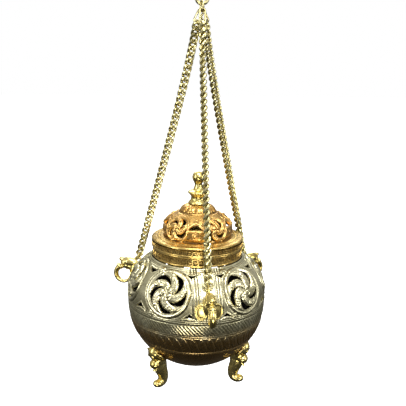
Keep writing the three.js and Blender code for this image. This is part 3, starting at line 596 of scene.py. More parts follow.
bowl_grids = [("bowl_wall_" + place, np.linspace(azimuth, azimuth + 120, 251), np.linspace(0, MOUTH_S, 93),
               bowl_design) for place, azimuth in LUGS.items()]
base_s = -BOWL_R * np.linspace(math.pi / 2 - 0.001, BAND_S / BOWL_R, 34)
bowl_grids += [("bowl_belly", np.linspace(-90, 270, 721), np.linspace(-BAND_S, 0, 62), belly_design),
               ("bowl_base", np.linspace(-90, 270, 181), base_s, belly_design)]
bowl_pieces = [pierced_wall(name, np.radians(az), s, bowl_line, design, WALL, PALE, TARNISH)
               for name, az, s, design in bowl_grids]

# %% [markdown]
# ## Collar and lid rim
# Both are turned bands with plain lips and a sunk ground. The lid's rim carries a rounded shoulder
# and a spigot that drops inside the collar. The key pattern stands in the ground, flush with the lips.

# %% Turned parts
COLLAR_Z, COLLAR_H, COLLAR_R, COLLAR_WALL = 95.07, 6.9, 32.2, 2
RIM_Z, RIM_R, SHOULDER_Z, SHOULDER_ROUND = 102.27, 32.9, 108.77, 1.4
SPIGOT_R, SPIGOT_WALL, SPIGOT_H = COLLAR_R - 2.3, 1.4, 4.5
COLLAR_TOP, RIM_TOP = COLLAR_Z + COLLAR_H, SHOULDER_Z - SHOULDER_ROUND
LIP, RECESS = 0.9, 0.35
GROUND_STAIN = 0.85


def rounded(profile, radius=0.18, steps=3):
    """A closed profile with each corner cut by a small curve."""
    profile = np.asarray(profile, float)
    smooth = []
    for before, here, after in zip(np.roll(profile, 1, 0), profile, np.roll(profile, -1, 0)):
        a, b = before - here, after - here
        la, lb = np.linalg.norm(a), np.linalg.norm(b)
        reach = min(radius, la * 0.45, lb * 0.45)
        start, end = here + a / la * reach, here + b / lb * reach
        for t in np.linspace(0, 1, steps):
            smooth.append((1 - t) ** 2 * start + 2 * t * (1 - t) * here + t * t * end)
    return smooth


def band(radius, low, high):
    """The outside of a band: two plain lips with a sunk ground between them."""
    ground = radius - RECESS
    return [(radius, low), (radius, low + LIP), (ground, low + LIP + RECESS / 2),
            (ground, high - LIP - RECESS / 2), (radius, high - LIP), (radius, high)]


def stain_ground(piece, radius, low, high):
    """The sunk ground of a band is left dark, and the rest is rubbed cleaner."""
    x, y, z = (read(piece.data.vertices, "co", 3) * MM - [0, 0, SOLE]).T
    was = read(piece.data.attributes["hollow"].data, "value", 1)[:, 0]
    in_ground = np.abs(np.hypot(x, y) - radius + RECESS) < 0.09
    in_ground &= (z > low + LIP / 2) & (z < high - LIP / 2)
    set_level(piece, "hollow", np.where(in_ground, GROUND_STAIN, was * 0.5))


def turned_ring(name, profile, finish, segments=192):
    closed = rounded(profile)
    points, faces = turned(closed + [closed[0]], segments)
    last = len(points) - segments
    faces = [[v - last if v >= last else v for v in f] for f in faces]
    piece = build(name, points[:last], faces, [finish], sharp=50)
    tell_hollows(piece, 0.6, 1)
    return piece


collar_in = COLLAR_R - COLLAR_WALL
collar = turned_ring("neck_collar_band", [(collar_in, COLLAR_Z)] + band(COLLAR_R, COLLAR_Z, COLLAR_TOP)
                     + [(collar_in, COLLAR_TOP)], GOLDEN)
stain_ground(collar, COLLAR_R, COLLAR_Z, COLLAR_TOP)
shoulder = [(RIM_R - SHOULDER_ROUND + SHOULDER_ROUND * math.cos(math.radians(d)),
             RIM_TOP + SHOULDER_ROUND * math.sin(math.radians(d))) for d in (0, 20, 40, 60, 80, 97)]
slope = [(r, SHOULDER_Z + rise) for r, rise in
         ((30.2, 0.16), (28.9, 0.14), (28.5, 0.42), (26.8, 0.62), (26.3, 0.86), (25.0, 0.9))]
spigot_in, spigot_low = SPIGOT_R - SPIGOT_WALL, RIM_Z - SPIGOT_H
rim_profile = ([(spigot_in, spigot_low), (SPIGOT_R, spigot_low), (SPIGOT_R, RIM_Z)]
               + band(RIM_R, RIM_Z, RIM_TOP) + shoulder + slope
               + [(21.9, SHOULDER_Z + 0.9), (21.9, SHOULDER_Z - 0.9), (spigot_in, SHOULDER_Z - 1.8)])
rim = turned_ring("lid_rim_band", rim_profile, GOLDEN)
stain_ground(rim, RIM_R, RIM_Z, RIM_TOP)

# %% [markdown]
# ## Geometry Nodes: a ring of pieces
# Keys and beads repeat evenly round the axis. A Geometry Nodes tree puts one copy of a piece at each
# point of a circle and turns it to face outwards. Piece, count and material are inputs, so one tree
# serves all.

# %% Ring of pieces
def new_tree(name, sockets):
    tree = bpy.data.node_groups.new(name, "GeometryNodeTree")
    for label, kind in {"Geometry": "Geometry", **sockets}.items():
        tree.interface.new_socket(label, in_out="INPUT", socket_type="NodeSocket" + kind)
    tree.interface.new_socket("Geometry", in_out="OUTPUT", socket_type="NodeSocketGeometry")
    return tree, node(tree, "NodeGroupInput").outputs


def finish_tree(tree, points, turns, piece, finish):
    """Sets a turned copy of a piece at each point, makes the copies real and gives them a material."""
    piece = node(tree, "GeometryNodeObjectInfo", {"Object": piece}).outputs["Geometry"]
    copies = node(tree, "GeometryNodeInstanceOnPoints",
                  {"Points": points, "Instance": piece, "Rotation": turns}).outputs[0]
    made = node(tree, "GeometryNodeRealizeInstances", {"Geometry": copies}).outputs[0]
    made = node(tree, "GeometryNodeSetMaterial", {"Geometry": made, "Material": finish}).outputs[0]
    node(tree, "NodeGroupOutput", {"Geometry": made})


def ring_tree():
    tree, given = new_tree("ring_of_pieces", {"Piece": "Object", "Count": "Int", "Finish": "Material"})
    centre = node(tree, "GeometryNodeMeshLine", {"Count": given["Count"], "Offset": (0, 0, 0)}).outputs[0]
    step = maths(tree, "DIVIDE", 2 * math.pi, given["Count"])
    turn = maths(tree, "MULTIPLY", node(tree, "GeometryNodeInputIndex").outputs[0], step)
    turns = node(tree, "ShaderNodeCombineXYZ", {"Z": turn}).outputs[0]
    finish_tree(tree, centre, turns, given["Piece"], given["Finish"])
    return tree


def grow(name, tree, values):
    """Runs a tree on an empty mesh and keeps the result as a plain mesh."""
    holder = new_object(name, bpy.data.meshes.new(name))
    modifier = holder.modifiers.new("nodes", "NODES")
    modifier.node_group = tree
    for item in tree.interface.items_tree:
        if item.in_out == "INPUT" and item.name in values:
            modifier[item.identifier] = values[item.name]
    graph = bpy.context.evaluated_depsgraph_get()
    made = bpy.data.meshes.new_from_object(holder.evaluated_get(graph))
    holder.modifiers.remove(modifier)
    holder.data = made
    shade(made, 40)
    print(name, len(made.polygons), "faces")
    return holder


RING_TREE = ring_tree()

# %% Keys and beads
BAR_WIDTH, BAR_SOFT, BAR_SUNK = 0.46, 0.12, 0.1


def bent_bar(start, end, rise, radius):
    """A raised bar between two points of a band that has been unrolled, bent round to its radius."""
    (x0, x1), (z0, z1) = (sorted(pair) for pair in zip(start, end))
    w = BAR_WIDTH / 2
    x0, x1, z0, z1 = x0 - w, x1 + w, z0 - w, z1 + w
    points = []
    for r, inset in ((radius - BAR_SUNK, 0), (radius + rise, BAR_SOFT)):
        left, right, low, high = x0 + inset, x1 - inset, z0 + inset, z1 - inset
        points += [(r * math.cos(x / radius), r * math.sin(x / radius), z)
                   for x, z in ((left, low), (right, low), (right, high), (left, high))]
    return points, [(4, 5, 6, 7), (0, 1, 5, 4), (1, 2, 6, 5), (2, 3, 7, 6), (3, 0, 4, 7)]


def key_piece(name, radius, low, high):
    """One turn of a key meander."""
    x = [0, 0.8, 1.6, 2.4, 3.2, 4.0]
    z = np.linspace(low, high, 4)
    line = [(x[0], z[0]), (x[0], z[3]), (x[4], z[3]), (x[4], z[1]), (x[2], z[1]), (x[2], z[2])]
    bars = list(zip(line, line[1:])) + [((x[4], z[0]), (x[5], z[0]))]
    points, faces = [], []
    for start, end in bars:
        more, sides = bent_bar(start, end, RECESS * 0.9, radius - RECESS)
        faces += [[v + len(points) for v in f] for f in sides]
        points += more
    piece = build(name, points, faces, [GOLDEN])
    set_level(piece, "hollow", ([1] * 4 + [0] * 4) * len(bars))
    set_level(piece, "edge", ([0] * 4 + [0.5] * 4) * len(bars))
    return piece


def ring_of(name, piece, count):
    made = grow(name, RING_TREE, {"Piece": piece, "Count": count, "Finish": GOLDEN})
    bpy.data.objects.remove(piece)
    return made


def bead(name, radius, height, size):
    arc = [(size * math.sin(a), size * math.cos(a)) for a in (0.6, 1.2, 1.75)]
    points, faces = turned([(0, size)] + arc, 8)
    points = [(x + radius, y, z * 0.8 + height) for x, y, z in points]
    return build(name, points, [f[::-1] for f in faces], [GOLDEN])


KEYS, BEADS = 48, 150
collar_keys = ring_of("collar_keys", key_piece("collar_key", COLLAR_R, COLLAR_Z + 1.75, COLLAR_TOP - 1.75), KEYS)
rim_keys = ring_of("rim_keys", key_piece("rim_key", RIM_R, RIM_Z + 1.55, RIM_TOP - 1.45), KEYS)
shoulder_beads = ring_of("shoulder_beads", bead("shoulder_bead", 27.6, SHOULDER_Z + 0.45, 0.42), BEADS)

# %% [markdown]
# ## The lid's dome
# Five pierced rosettes go round the dome, with an arched gap and a volute between each two. It is
# made as the bowl's wall is, on its own outline.

# %% Dome
DOME_Z, CROWN_Z, FINIAL_Z, DOME_WALL = 109.97, 127.67, 132.77, 1.4
DOME_KNOTS = [(23.6, DOME_Z), (24.5, DOME_Z + 3.2), (22.6, DOME_Z + 10.6), (13.0, DOME_Z + 17.4)]
dome_points = spline(DOME_KNOTS, 300)
dome_arc = running_total(np.linalg.norm(np.diff(dome_points, axis=0), axis=1))
DOME_S = float(dome_arc[-1])


def dome_line(s):
    return table_line(np.asarray(s, float), dome_arc, *dome_points.T)


ROSETTES, ROSETTE_START, ROSETTE_RISE = 5, -67, 8.6
ROSETTE = {"leaves": 4, "hub": 2.6, "reach": 8.0, "sweep": 42, "opening": 52,
           "frame_width": 1.3, "leaf_rise": 0.75}
ARCH_HALF, ARCH_OVER, ARCH_UNDER = 5.25, 3.9, 0.2
ROSETTE_S = float(np.interp(DOME_Z + ROSETTE_RISE, dome_points[:, 1], dome_arc))
turns = [ROSETTE_START + 360 / ROSETTES * k for k in range(ROSETTES)]
rosette_places = [drawing_on(dome_line, turn, ROSETTE_S) for turn in turns]
arch_places = [drawing_on(dome_line, turn + 180 / ROSETTES, ROSETTE_S) for turn in turns]


def arch_hole(x, y):
    """A crescent with its points down."""
    bow = 1 - (x / ARCH_HALF) ** 2
    return soft_max(y - ARCH_OVER * bow, ARCH_UNDER * bow - y, 0.5) * 0.8


def dome_design(points, az, s):
    gap, height = np.full(az.shape, NO_HOLE), np.zeros(az.shape)
    for place in rosette_places:
        x, y, out = on_drawing(points, place)
        near = (np.hypot(x, y) < 10.6) & (out > -9)
        hole, rise = medallion(x[near], y[near], **ROSETTE)
        gap[near] = np.minimum(gap[near], hole)
        height[near] = np.maximum(height[near], rise)
    for place in arch_places:
        x, y, out = on_drawing(points, place)
        near = (np.hypot(x, y) < 9) & (out > -9)
        hole = arch_hole(x[near], y[near])
        gap[near] = np.minimum(gap[near], hole)
        rise = (0.5 * groove(hole - 0.8, 0.5) + volute(x[near], y[near] + 3.6, 2.8)
                + volute(x[near], y[near] - 6.6, 2.2, -1))
        height[near] = np.maximum(height[near], rise * smooth_step(9, 7.5, np.hypot(x[near], y[near])))
    for line in (0.8, DOME_S - 0.8):
        height -= 0.3 * groove(s - line, 0.3)
    height -= 0.35 * groove(np.clip(gap, 0, None), 0.25)
    return gap, height


dome = pierced_wall("lid_dome_shell", np.radians(np.linspace(-90, 270, 481)), np.linspace(0, DOME_S, 76),
                    dome_line, dome_design, DOME_WALL, COPPER, 1.8)

# %% [markdown]
# ## Crown and finial
# The crown is a cap of lapped petals. The finial is turned in one piece: a foot, a waist, a flange,
# a neck and an egg-shaped knob, with the tool's faint rings left in it.

# %% Crown and finial
CROWN_LINE = [(13.0, 0), (12.9, 0.9), (12.0, 2.2), (9.9, 3.7), (6.6, 4.75), (2.2, 4.8)]
PETALS = 10


def crown_cap():
    profile = spline([(r, CROWN_Z + z) for r, z in CROWN_LINE], 34)
    az = np.linspace(0, 2 * math.pi, 361)[:-1]
    wave = np.abs(np.sin(az * PETALS / 2))
    points = []
    for (r, z), t in zip(profile, np.linspace(0, 1, len(profile))):
        lobe = smooth_step(0.75, 0.1, t) * (1.05 * (1 - wave) ** 2 + 0.12)
        vein = 0.25 * groove(np.abs((az * PETALS / (2 * math.pi)) % 1 - 0.5), 0.07) * smooth_step(0.7, 0.3, t)
        ring = 0.3 * groove(t - 0.78, 0.03)
        points.append(round_z(r - lobe - vein - ring, az, z - 0.35 * lobe))
    for r, z in np.array(profile[::-3]) - [1.2, 0.0]:
        points.append(round_z(max(r - 0.6, 1.8), az, z - 1.15 if r > 3 else z - 1.2))
    faces = torus_faces(len(points), len(az))
    return build("lid_crown_cap", np.vstack(points), faces, [COPPER], sharp=60)


crown = crown_cap()
tell_hollows(crown)

FINIAL_LINE = [(6.9, 0.0), (7.1, 0.4), (6.8, 1.1), (5.8, 2.1), (5.2, 3.4), (5.3, 5.0), (6.3, 6.5), (7.3, 7.5),
               (7.4, 8.1), (6.7, 8.8), (4.6, 9.5), (3.5, 10.4), (3.0, 12.0), (2.75, 13.4), (2.95, 14.4),
               (3.85, 16.2), (4.5, 18.3), (4.3, 20.2), (3.4, 21.7), (2.0, 22.6), (0.9, 22.88), (0, 22.9)]
FINIAL_ROWS = 110
finial_curve = spline([(r, FINIAL_Z + z) for r, z in FINIAL_LINE], FINIAL_ROWS)
tool_marks = 0.035 * np.sin(np.linspace(0, 150, FINIAL_ROWS)) * smooth_step(1.0, 3.0, finial_curve[:, 0])
finial_curve[:, 0] = np.maximum(finial_curve[:, 0] - 0.04 + tool_marks, 0)
finial_curve[-1, 0] = 0
stud = [(0, FINIAL_Z - 8.5), (1.3, FINIAL_Z - 8.5), (1.5, FINIAL_Z - 8.2), (1.5, FINIAL_Z)]
finial = build("finial_knob", *turned(stud + finial_curve.tolist(), 72), [YELLOW])
tell_hollows(finial, 0.5)

# %% [markdown]
# ## The charcoal pan
# A plain spun cup stands in the bowl on a low foot, and takes the heat. It is black with soot.

# %% Pan
PAN_WALL = 1.2
pan_low, pan_high = (corner.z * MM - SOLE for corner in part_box("charcoal_pan"))
pan_base = pan_low + 3
pan_outer = [(19 + 7.6 * math.sqrt(t), pan_base + 17 * t) for t in np.linspace(0, 1, 18) ** 1.5]
pan_inner = [(max(r - PAN_WALL, 0.1), max(z, pan_base + PAN_WALL)) for r, z in reversed(pan_outer)]
pan_lip = [(28.1, pan_base + 17.05), (28.2, pan_base + 17.8), (27.8, pan_high), (26.6, pan_high),
           (25.5, pan_high - 0.5)]
pan_line = ([(0, pan_base), (16.6, pan_base), (17.8, pan_low), (19, pan_low)] + pan_outer + pan_lip
            + pan_inner + [(0, pan_base + PAN_WALL)])
pan = build("charcoal_pan_cup", *turned(pan_line, 96), [SOOT])

# %% [markdown]
# ## The castings
# Lugs and feet were cast from the same idea, an elephant's head: a lug's trunk curls into a ring, a
# foot's trunk stretches down and turns up at its toe. Each is modelled as a founder would in wax:
# limbs and lumps are pressed together, then a voxel remesh melts them into one skin.

# %% Wax helpers
class Wax:
    """Lumps of wax in one lump's frame: X outward from the axis, Y sideways, Z up, in millimetres."""

    def __init__(self):
        self.points, self.faces = [], []

    def add(self, points, faces):
        start = len(self.points)
        self.points += [tuple(p) for p in points]
        self.faces += [[v + start for v in f] for f in faces]

    def limb(self, path, sizes, sides=16, steps=30, y=0.0):
        """A limb along a path in the XZ plane, moved to y; sizes are (thickness, width) along it."""
        path = spline([(x, 0, z) for x, z in path], steps)
        share = np.linspace(0, 1, steps)
        sizes = spline(sizes, 200)[(share * 199).astype(int)] / 2
        ends = np.sqrt(np.clip(1 - (2 * share - 1) ** 8, 0, 1))
        along = np.gradient(path, axis=0)
        along /= np.linalg.norm(along, axis=1)[:, None]
        out = np.stack([along[:, 2], 0 * share, -along[:, 0]], -1)
        turn = np.arange(sides) * 2 * math.pi / sides
        rings = path[:, None] + ((out * (sizes[:, 0] * ends)[:, None])[:, None]
                                 * np.cos(turn)[None, :, None])
        rings[..., 1] += (sizes[:, 1] * ends)[:, None] * np.sin(turn)
        points = np.vstack([path[:1], rings[1:-1].reshape(-1, 3), path[-1:]])
        last = len(points) - 1
        faces = [[0, 1 + j, 1 + (j + 1) % sides] for j in range(sides)]
        for i in range(steps - 3):
            a, b = 1 + i * sides, 1 + (i + 1) * sides
            faces += [[a + j, b + j, b + (j + 1) % sides, a + (j + 1) % sides] for j in range(sides)]
        a = 1 + (steps - 3) * sides
        faces += [[last, a + (j + 1) % sides, a + j] for j in range(sides)]
        self.add(points + [0, y, 0], faces)

    def lump(self, centre, radii, turn=(0, 0, 0)):
        outline = [(math.sin(a), -math.cos(a)) for a in np.linspace(0, math.pi, 14)]
        points, faces = turned(outline, 20)
        spin = (Matrix.Rotation(turn[2], 3, "Z") @ Matrix.Rotation(turn[1], 3, "Y")
                @ Matrix.Rotation(turn[0], 3, "X"))
        self.add((np.array(points) * radii) @ np.array(spin).T + centre, faces)

    def ring(self, centre, radius, wire, axis="Y", stretch=1.0, turn=0.0):
        a = np.linspace(0, 2 * math.pi, 41)[:-1]
        x, y = radius * np.cos(a), radius * stretch * np.sin(a)
        centres, side = np.stack([x, 0 * a, y], -1), (0, 1, 0)
        if axis == "X":
            centres, side = np.stack([0 * a, x, y], -1), (1, 0, 0)
        points, faces = closed_tube(centres, side, wire / 2, 12)
        self.add(points @ np.array(Matrix.Rotation(turn, 3, "Z")).T + centre, faces)

    def melted(self, voxel=0.3, smoothing=3):
        mesh = bpy.data.meshes.new("wax")
        mesh.from_pydata(self.points, [], self.faces)
        holder = new_object("wax", mesh)
        remesh = holder.modifiers.new("melt", "REMESH")
        remesh.mode, remesh.voxel_size = "VOXEL", voxel
        graph = bpy.context.evaluated_depsgraph_get()
        made = bpy.data.meshes.new_from_object(holder.evaluated_get(graph))
        bpy.data.objects.remove(holder)
        points, edges = read(made.vertices, "co", 3), read(made.edges, "vertices", 2, int)
        for _ in range(smoothing):
            points += 0.5 * (neighbours_mean(points, edges, len(points)) - points)
        return points, [list(p.vertices) for p in made.polygons]


def clear_of_bowl(points, gap=0.12):
    """Points that lie inside the bowl are moved out to its wall."""
    r, z = np.hypot(points[:, 0], points[:, 1]), points[:, 2]
    s_table = np.linspace(-78, MOUTH_S, 1200)
    line_r, line_z, nr, nz = bowl_line(s_table)
    nearest = ((r[:, None] - line_r[None]) ** 2 + (z[:, None] - line_z[None]) ** 2).argmin(1)
    depth = (r - line_r[nearest]) * nr[nearest] + (z - line_z[nearest]) * nz[nearest]
    push = np.where(depth < gap, gap - depth, 0)
    scale = (r + push * nr[nearest]) / np.maximum(r, TINY)
    return np.stack([points[:, 0] * scale, points[:, 1] * scale, z + push * nz[nearest]], -1)


def cast(name, wax_points, faces, azimuth):
    spin = np.array(Matrix.Rotation(math.radians(azimuth), 3, "Z"))
    piece = build(name, wax_points @ spin.T, faces, [YELLOW], sharp=80)
    tell_hollows(piece, 1.1, 3)
    return piece


# %% Lugs
EYE, LOOP, LOOP_R = (47.4, 84.5), (59.8, 71.2), 6.05


def lug_wax():
    wax = Wax()
    wax.ring((EYE[0], 0, EYE[1] - 0.3), 2.15, 1.7)
    wax.limb([(48, 79.5), (53, 81.4), (58, 81.2), (61.4, 79.4)], [(5, 5), (7.4, 7.2), (6.8, 6.6), (4.8, 5.2)])
    wax.limb([(46.6, 82), (48.4, 81.2), (50.5, 81)], [(2.4, 3.6), (4.2, 4.6), (4.4, 5)], 14, 12)
    wax.limb([(58.6, 82.2), (60.6, 83.2), (63.0, 82.6)], [(2.2, 3.2), (2.7, 4.4), (2.0, 3.2)], 14, 14)
    wax.lump((49.8, 0, 74.2), (4.4, 4.3, 7.2))
    wax.lump((55.5, 0, 78.6), (4.4, 3.4, 3.4))
    curl = [(LOOP[0] + LOOP_R * math.cos(math.radians(d)), LOOP[1] + LOOP_R * math.sin(math.radians(d)))
            for d in range(80, -216, -20)]
    wax.limb([(60.6, 79.6)] + curl, [(5, 5.2), (4.2, 4.8), (3.5, 4.6), (3.3, 4.4), (3.0, 4.0), (2.4, 3.2),
                                     (1.8, 2.4)], 16, 60)
    wax.lump((63.9, 0, 78.0), (1.3, 2.2, 1.2))
    for hand in SIDES:
        wax.lump((50.4, hand * 5.2, 70.7), (1.0, 4.3, 5.7), (0, 0, hand * 0.26))
        wax.ring((50.9, hand * 5.3, 70.7), 4.0, 1.15, "X", 1.34, hand * 0.26)
        wax.lump((58.4, hand * 3.0, 80.6), (1.0, 0.8, 1.0))
        wax.limb([(59.6, 77.6), (61.6, 77.0), (63.2, 78.3)], [(1.5, 1.3), (1.3, 1.2), (0.6, 0.6)], 10, 12,
                 hand * 2.5)
    return wax


lug_points, lug_faces = lug_wax().melted()
lug_points = clear_of_bowl(lug_points)
lugs = {place: cast("lug_head_" + place, lug_points, lug_faces, azimuth)
        for place, azimuth in LUGS.items()}
print("a lug has", len(lug_faces), "faces")

# %% Feet
def foot_wax():
    wax = Wax()
    wax.lump((37, 0, 27.8), (5.0, 5.6, 6.2), (0, 0.35, 0))
    wax.lump((37.3, 0, 19.2), (3.9, 4.2, 3.6))
    wax.lump((33.5, 0, 22), (6, 4.8, 6))
    wax.limb([(33, 22), (32.2, 15), (30.2, 9), (30.4, 4.6), (33.6, 2.8), (38.3, 4.0)],
             [(11.5, 9.5), (10.4, 8.6), (8.0, 7.4), (7.0, 6.8), (6.0, 6.4), (6.2, 6.8), (5.8, 6.4)], 18, 44)
    wax.limb([(33.6, 16), (37, 15.4), (38.6, 13.2)], [(2.6, 3.4), (2.4, 3.0), (1.2, 1.8)], 12, 14)
    for hand in SIDES:
        wax.lump((36.4, hand * 5.4, 26.2), (1.3, 3.6, 4.8), (0, 0.7, hand * 0.25))
        wax.lump((41.0, hand * 2.5, 26.4), (0.9, 0.9, 0.9))
        wax.limb([(36.4, 18), (38.6, 15.6), (39.4, 13.6)], [(1.7, 1.4), (1.4, 1.2), (0.6, 0.6)], 10, 12,
                 hand * 3.2)
    return wax


foot_points, foot_faces = foot_wax().melted()
foot_points = clear_of_bowl(foot_points)
foot_points[:, 2] = np.maximum(foot_points[:, 2], 0)
feet = {place: cast("foot_cast_" + place, foot_points, foot_faces, azimuth)
        for place, azimuth in FEET.items()}
print("a foot has", len(foot_faces), "faces")

# %% [markdown]
# ## Curb chains
# A curb link is an oval of wire whose sides are twisted, so that it locks flat against the next. A
# Geometry Nodes tree follows each chain's curve from the ring to the lug, sets one link at each even
# step, points it along the curve, and rolls the last few links into the rings at both ends.

# %% Chain tree
LINKS, LINK_WIRE, LINK_WIDTH, LINK_WAVE = 40, 1.45, 5.9, 1.35
THICK_WIRE = 2.0  # a link's own wire; LINK_WIRE is the wire that its spacing is laid out for
LINK_TRIM = 0.15
LINK_STEPS, LINK_SIDES = 18, 8
ROLL_LINKS, END_ROLL = 7, 45
CHAIN_BEND, CHAIN_TOP_R = (4.4, 238.0), 3.5


def chain_tree():
    tree, given = new_tree("curb_chain", {
        "Head": "Vector", "Bend": "Vector", "Foot": "Vector", "Side": "Vector", "End Share": "Float",
        "Links": "Int", "Head Roll": "Float", "Foot Roll": "Float", "Rolled Links": "Float",
        "Link": "Object", "Finish": "Material"})
    line = node(tree, "GeometryNodeCurveQuadraticBezier", {
        "Resolution": 200, "Start": given["Head"], "Middle": given["Bend"], "End": given["Foot"]})
    ends = {0: line.outputs[0], 2: given["End Share"], 3: maths(tree, "SUBTRACT", 1.0, given["End Share"])}
    trimmed = node(tree, "GeometryNodeTrimCurve", ends, mode="FACTOR").outputs[0]
    points = node(tree, "GeometryNodeCurveToPoints", {"Curve": trimmed, "Count": given["Links"]},
                  mode="COUNT").outputs
    up = node(tree, "ShaderNodeVectorMath", {0: points["Tangent"], "Scale": -1.0}, operation="SCALE")
    aim = node(tree, "FunctionNodeAxesToRotation", {0: up.outputs[0], 1: given["Side"]},
               primary_axis="Z", secondary_axis="Y").outputs[0]
    number = node(tree, "GeometryNodeInputIndex").outputs[0]
    from_foot = maths(tree, "SUBTRACT", maths(tree, "SUBTRACT", given["Links"], 1.0), number)
    rolls = [maths(tree, "MULTIPLY", ramp(tree, count, 0.0, given["Rolled Links"], 1.0, 0.0), given[roll])
             for count, roll in ((number, "Head Roll"), (from_foot, "Foot Roll"))]
    about = node(tree, "FunctionNodeAxisAngleToRotation",
                 {"Axis": (0, 0, 1), "Angle": maths(tree, "ADD", *rolls)}).outputs[0]
    turns = node(tree, "FunctionNodeRotateRotation", {0: aim, 1: about}, rotation_space="LOCAL").outputs[0]
    finish_tree(tree, points["Points"], turns, given["Link"], given["Finish"])
    return tree


CHAIN_TREE = chain_tree()


def link_piece(half_length):
    a = np.arange(LINK_STEPS) * 2 * math.pi / LINK_STEPS
    half_width = (LINK_WIDTH - THICK_WIRE) / 2
    centres = np.stack([half_width * np.sin(a), LINK_WAVE * np.sin(2 * a), half_length * np.cos(a)], -1)
    points, faces = closed_tube(centres, (0, 1, 0), THICK_WIRE / 2, LINK_SIDES)
    points[:, 2] -= SOLE
    return build("curb_link", points, faces, [WIRE], sharp=180)


# %% Chains
JOINING_Z = -11.3
EYE_LEAN = math.atan2(EYE[0] - CHAIN_BEND[0], CHAIN_BEND[1] - EYE[1])
SEATS = {"front": -2.6, "right": -0.1, "left": 2.8}
HEAD_ROLL = {"front": -40, "right": 7, "left": 50}
JOIN_WIRE, END_WIRE, END_HALF, GAP, PLAY = 1.6, 1.3, 5.2, 0.3, 0.55
JUMP_R, JUMP_WIRE = 2.8, 1.4


def turn_z(point, degrees):
    x, y, z = point
    a = math.radians(degrees)
    return np.array([x * math.cos(a) - y * math.sin(a), x * math.sin(a) + y * math.cos(a), z])


def chain_ends(place, azimuth):
    """The end link's seat on the joining link, and the chain's head, bend and foot, above the soles."""
    seat = np.array([0, SEATS[place], JOINING_Z - SOLE])
    head = turn_z((CHAIN_TOP_R, 0, 0), azimuth)
    reach = math.hypot(*(head - seat)[:2])
    span = 2 * END_HALF - END_WIRE - (JOIN_WIRE + LINK_WIRE) / 2 - GAP - PLAY
    head[2] = seat[2] - math.sqrt(span ** 2 - reach ** 2)
    grip = 2 * JUMP_R - (JUMP_WIRE + LINK_WIRE) / 2 - PLAY
    foot = turn_z((EYE[0] - grip * math.sin(EYE_LEAN), 0, EYE[1] + grip * math.cos(EYE_LEAN)), azimuth)
    return seat, head, turn_z((CHAIN_BEND[0], 0, CHAIN_BEND[1]), azimuth), foot


def curve_length(a, b, c):
    t = np.linspace(0, 1, 400)[:, None]
    line = (1 - t) ** 2 * a + 2 * t * (1 - t) * b + t * t * c
    return float(np.linalg.norm(np.diff(line, axis=0), axis=1).sum())


chains = {}
for place, azimuth in LUGS.items():
    seat, head, bend, foot = chain_ends(place, azimuth)
    length = curve_length(head, bend, foot)
    pitch = (length - LINK_WIRE) / LINKS
    half = (pitch + THICK_WIRE) / 2 - LINK_TRIM
    link = link_piece(half)
    chains[place] = grow("chain_links_" + place, CHAIN_TREE, {
        "Head": tuple(in_frame(head)), "Bend": tuple(in_frame(bend)), "Foot": tuple(in_frame(foot)),
        "Side": tuple(turn_z((0, 1, 0), azimuth)), "End Share": half / length, "Links": LINKS,
        "Head Roll": math.radians(HEAD_ROLL[place]), "Foot Roll": math.radians(END_ROLL),
        "Rolled Links": float(ROLL_LINKS), "Link": link, "Finish": WIRE})
    bpy.data.objects.remove(link)
    tell_hollows(chains[place], 0.35, 1)
    print("chain", place, round(length, 1), "mm,", LINKS, "links")

# %% [markdown]
# ## Rings and plain links
# The top ring, the joining link, the three end links and the jump rings are bent from plain wire
# and closed with a dab of solder, which shows as a slight swelling.

# %% Rings
LOOP_STEPS, LOOP_SIDES = 56, 14


def wire_loop(name, half_width, half_length, corner, wire, place):
    """An oval wire loop; place moves points from the loop's own XZ plane into position."""
    step = np.arange(LOOP_STEPS)
    a = step * 2 * math.pi / LOOP_STEPS

    def reach(c, half):
        return corner * c + np.where(np.abs(c) < TINY, 0, np.sign(c)) * (half - corner)

    centres = np.stack([reach(np.cos(a), half_width), 0 * a, reach(np.sin(a), half_length)], -1)
    middle_step = LOOP_STEPS * 0.5
    solder = 1 + 0.09 * groove(step - middle_step, 1.6) - 0.03 * groove(step - middle_step - 2.5, 0.8)
    points, faces = closed_tube(centres, (0, 1, 0), wire / 2 * solder, LOOP_SIDES)
    piece = build(name, place(points), faces, [WIRE], sharp=180)
    tell_hollows(piece, 0.35, 1)
    return piece


def middle_z(node_name):
    low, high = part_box(node_name)
    return ((low + high) / 2).z * MM - SOLE


def crosswise(points, raised):
    """A loop turned from the XZ plane into the YZ plane, and raised."""
    return np.stack([-points[:, 1], points[:, 0], points[:, 2] + raised], -1)


ring_z, joining_z = middle_z("suspension_ring"), middle_z("joining_link")
top_ring = wire_loop("hanging_ring", 3.94, 3.94, 3.94, 2.34, lambda p: p + [0, 0, ring_z])
joining = wire_loop("joining_loop", 5, 3.4, 2.2, JOIN_WIRE, lambda p: crosswise(p, joining_z))


def end_loop(place, azimuth):
    seat, head, _, _ = chain_ends(place, azimuth)
    up = (seat - head) / np.linalg.norm(seat - head)
    across = np.cross([0, 1, 0], up)
    across /= np.linalg.norm(across)
    through = np.cross(up, across)
    centre = seat + up * ((JOIN_WIRE + END_WIRE) / 2 + GAP - END_HALF)
    axes = np.array([across, through, up])
    return wire_loop("end_loop_" + place, 1.8, END_HALF, 1.8, END_WIRE, lambda p: p @ axes + centre)


def jump_loop(place, azimuth):
    lean = np.array(Matrix.Rotation(-EYE_LEAN, 3, "Y"))
    spin = np.array(Matrix.Rotation(math.radians(azimuth), 3, "Z"))

    def placed(p):
        return (crosswise(p, JUMP_R) @ lean.T + [EYE[0], 0, EYE[1]]) @ spin.T

    return wire_loop("jump_loop_" + place, JUMP_R, JUMP_R, JUMP_R, JUMP_WIRE, placed)


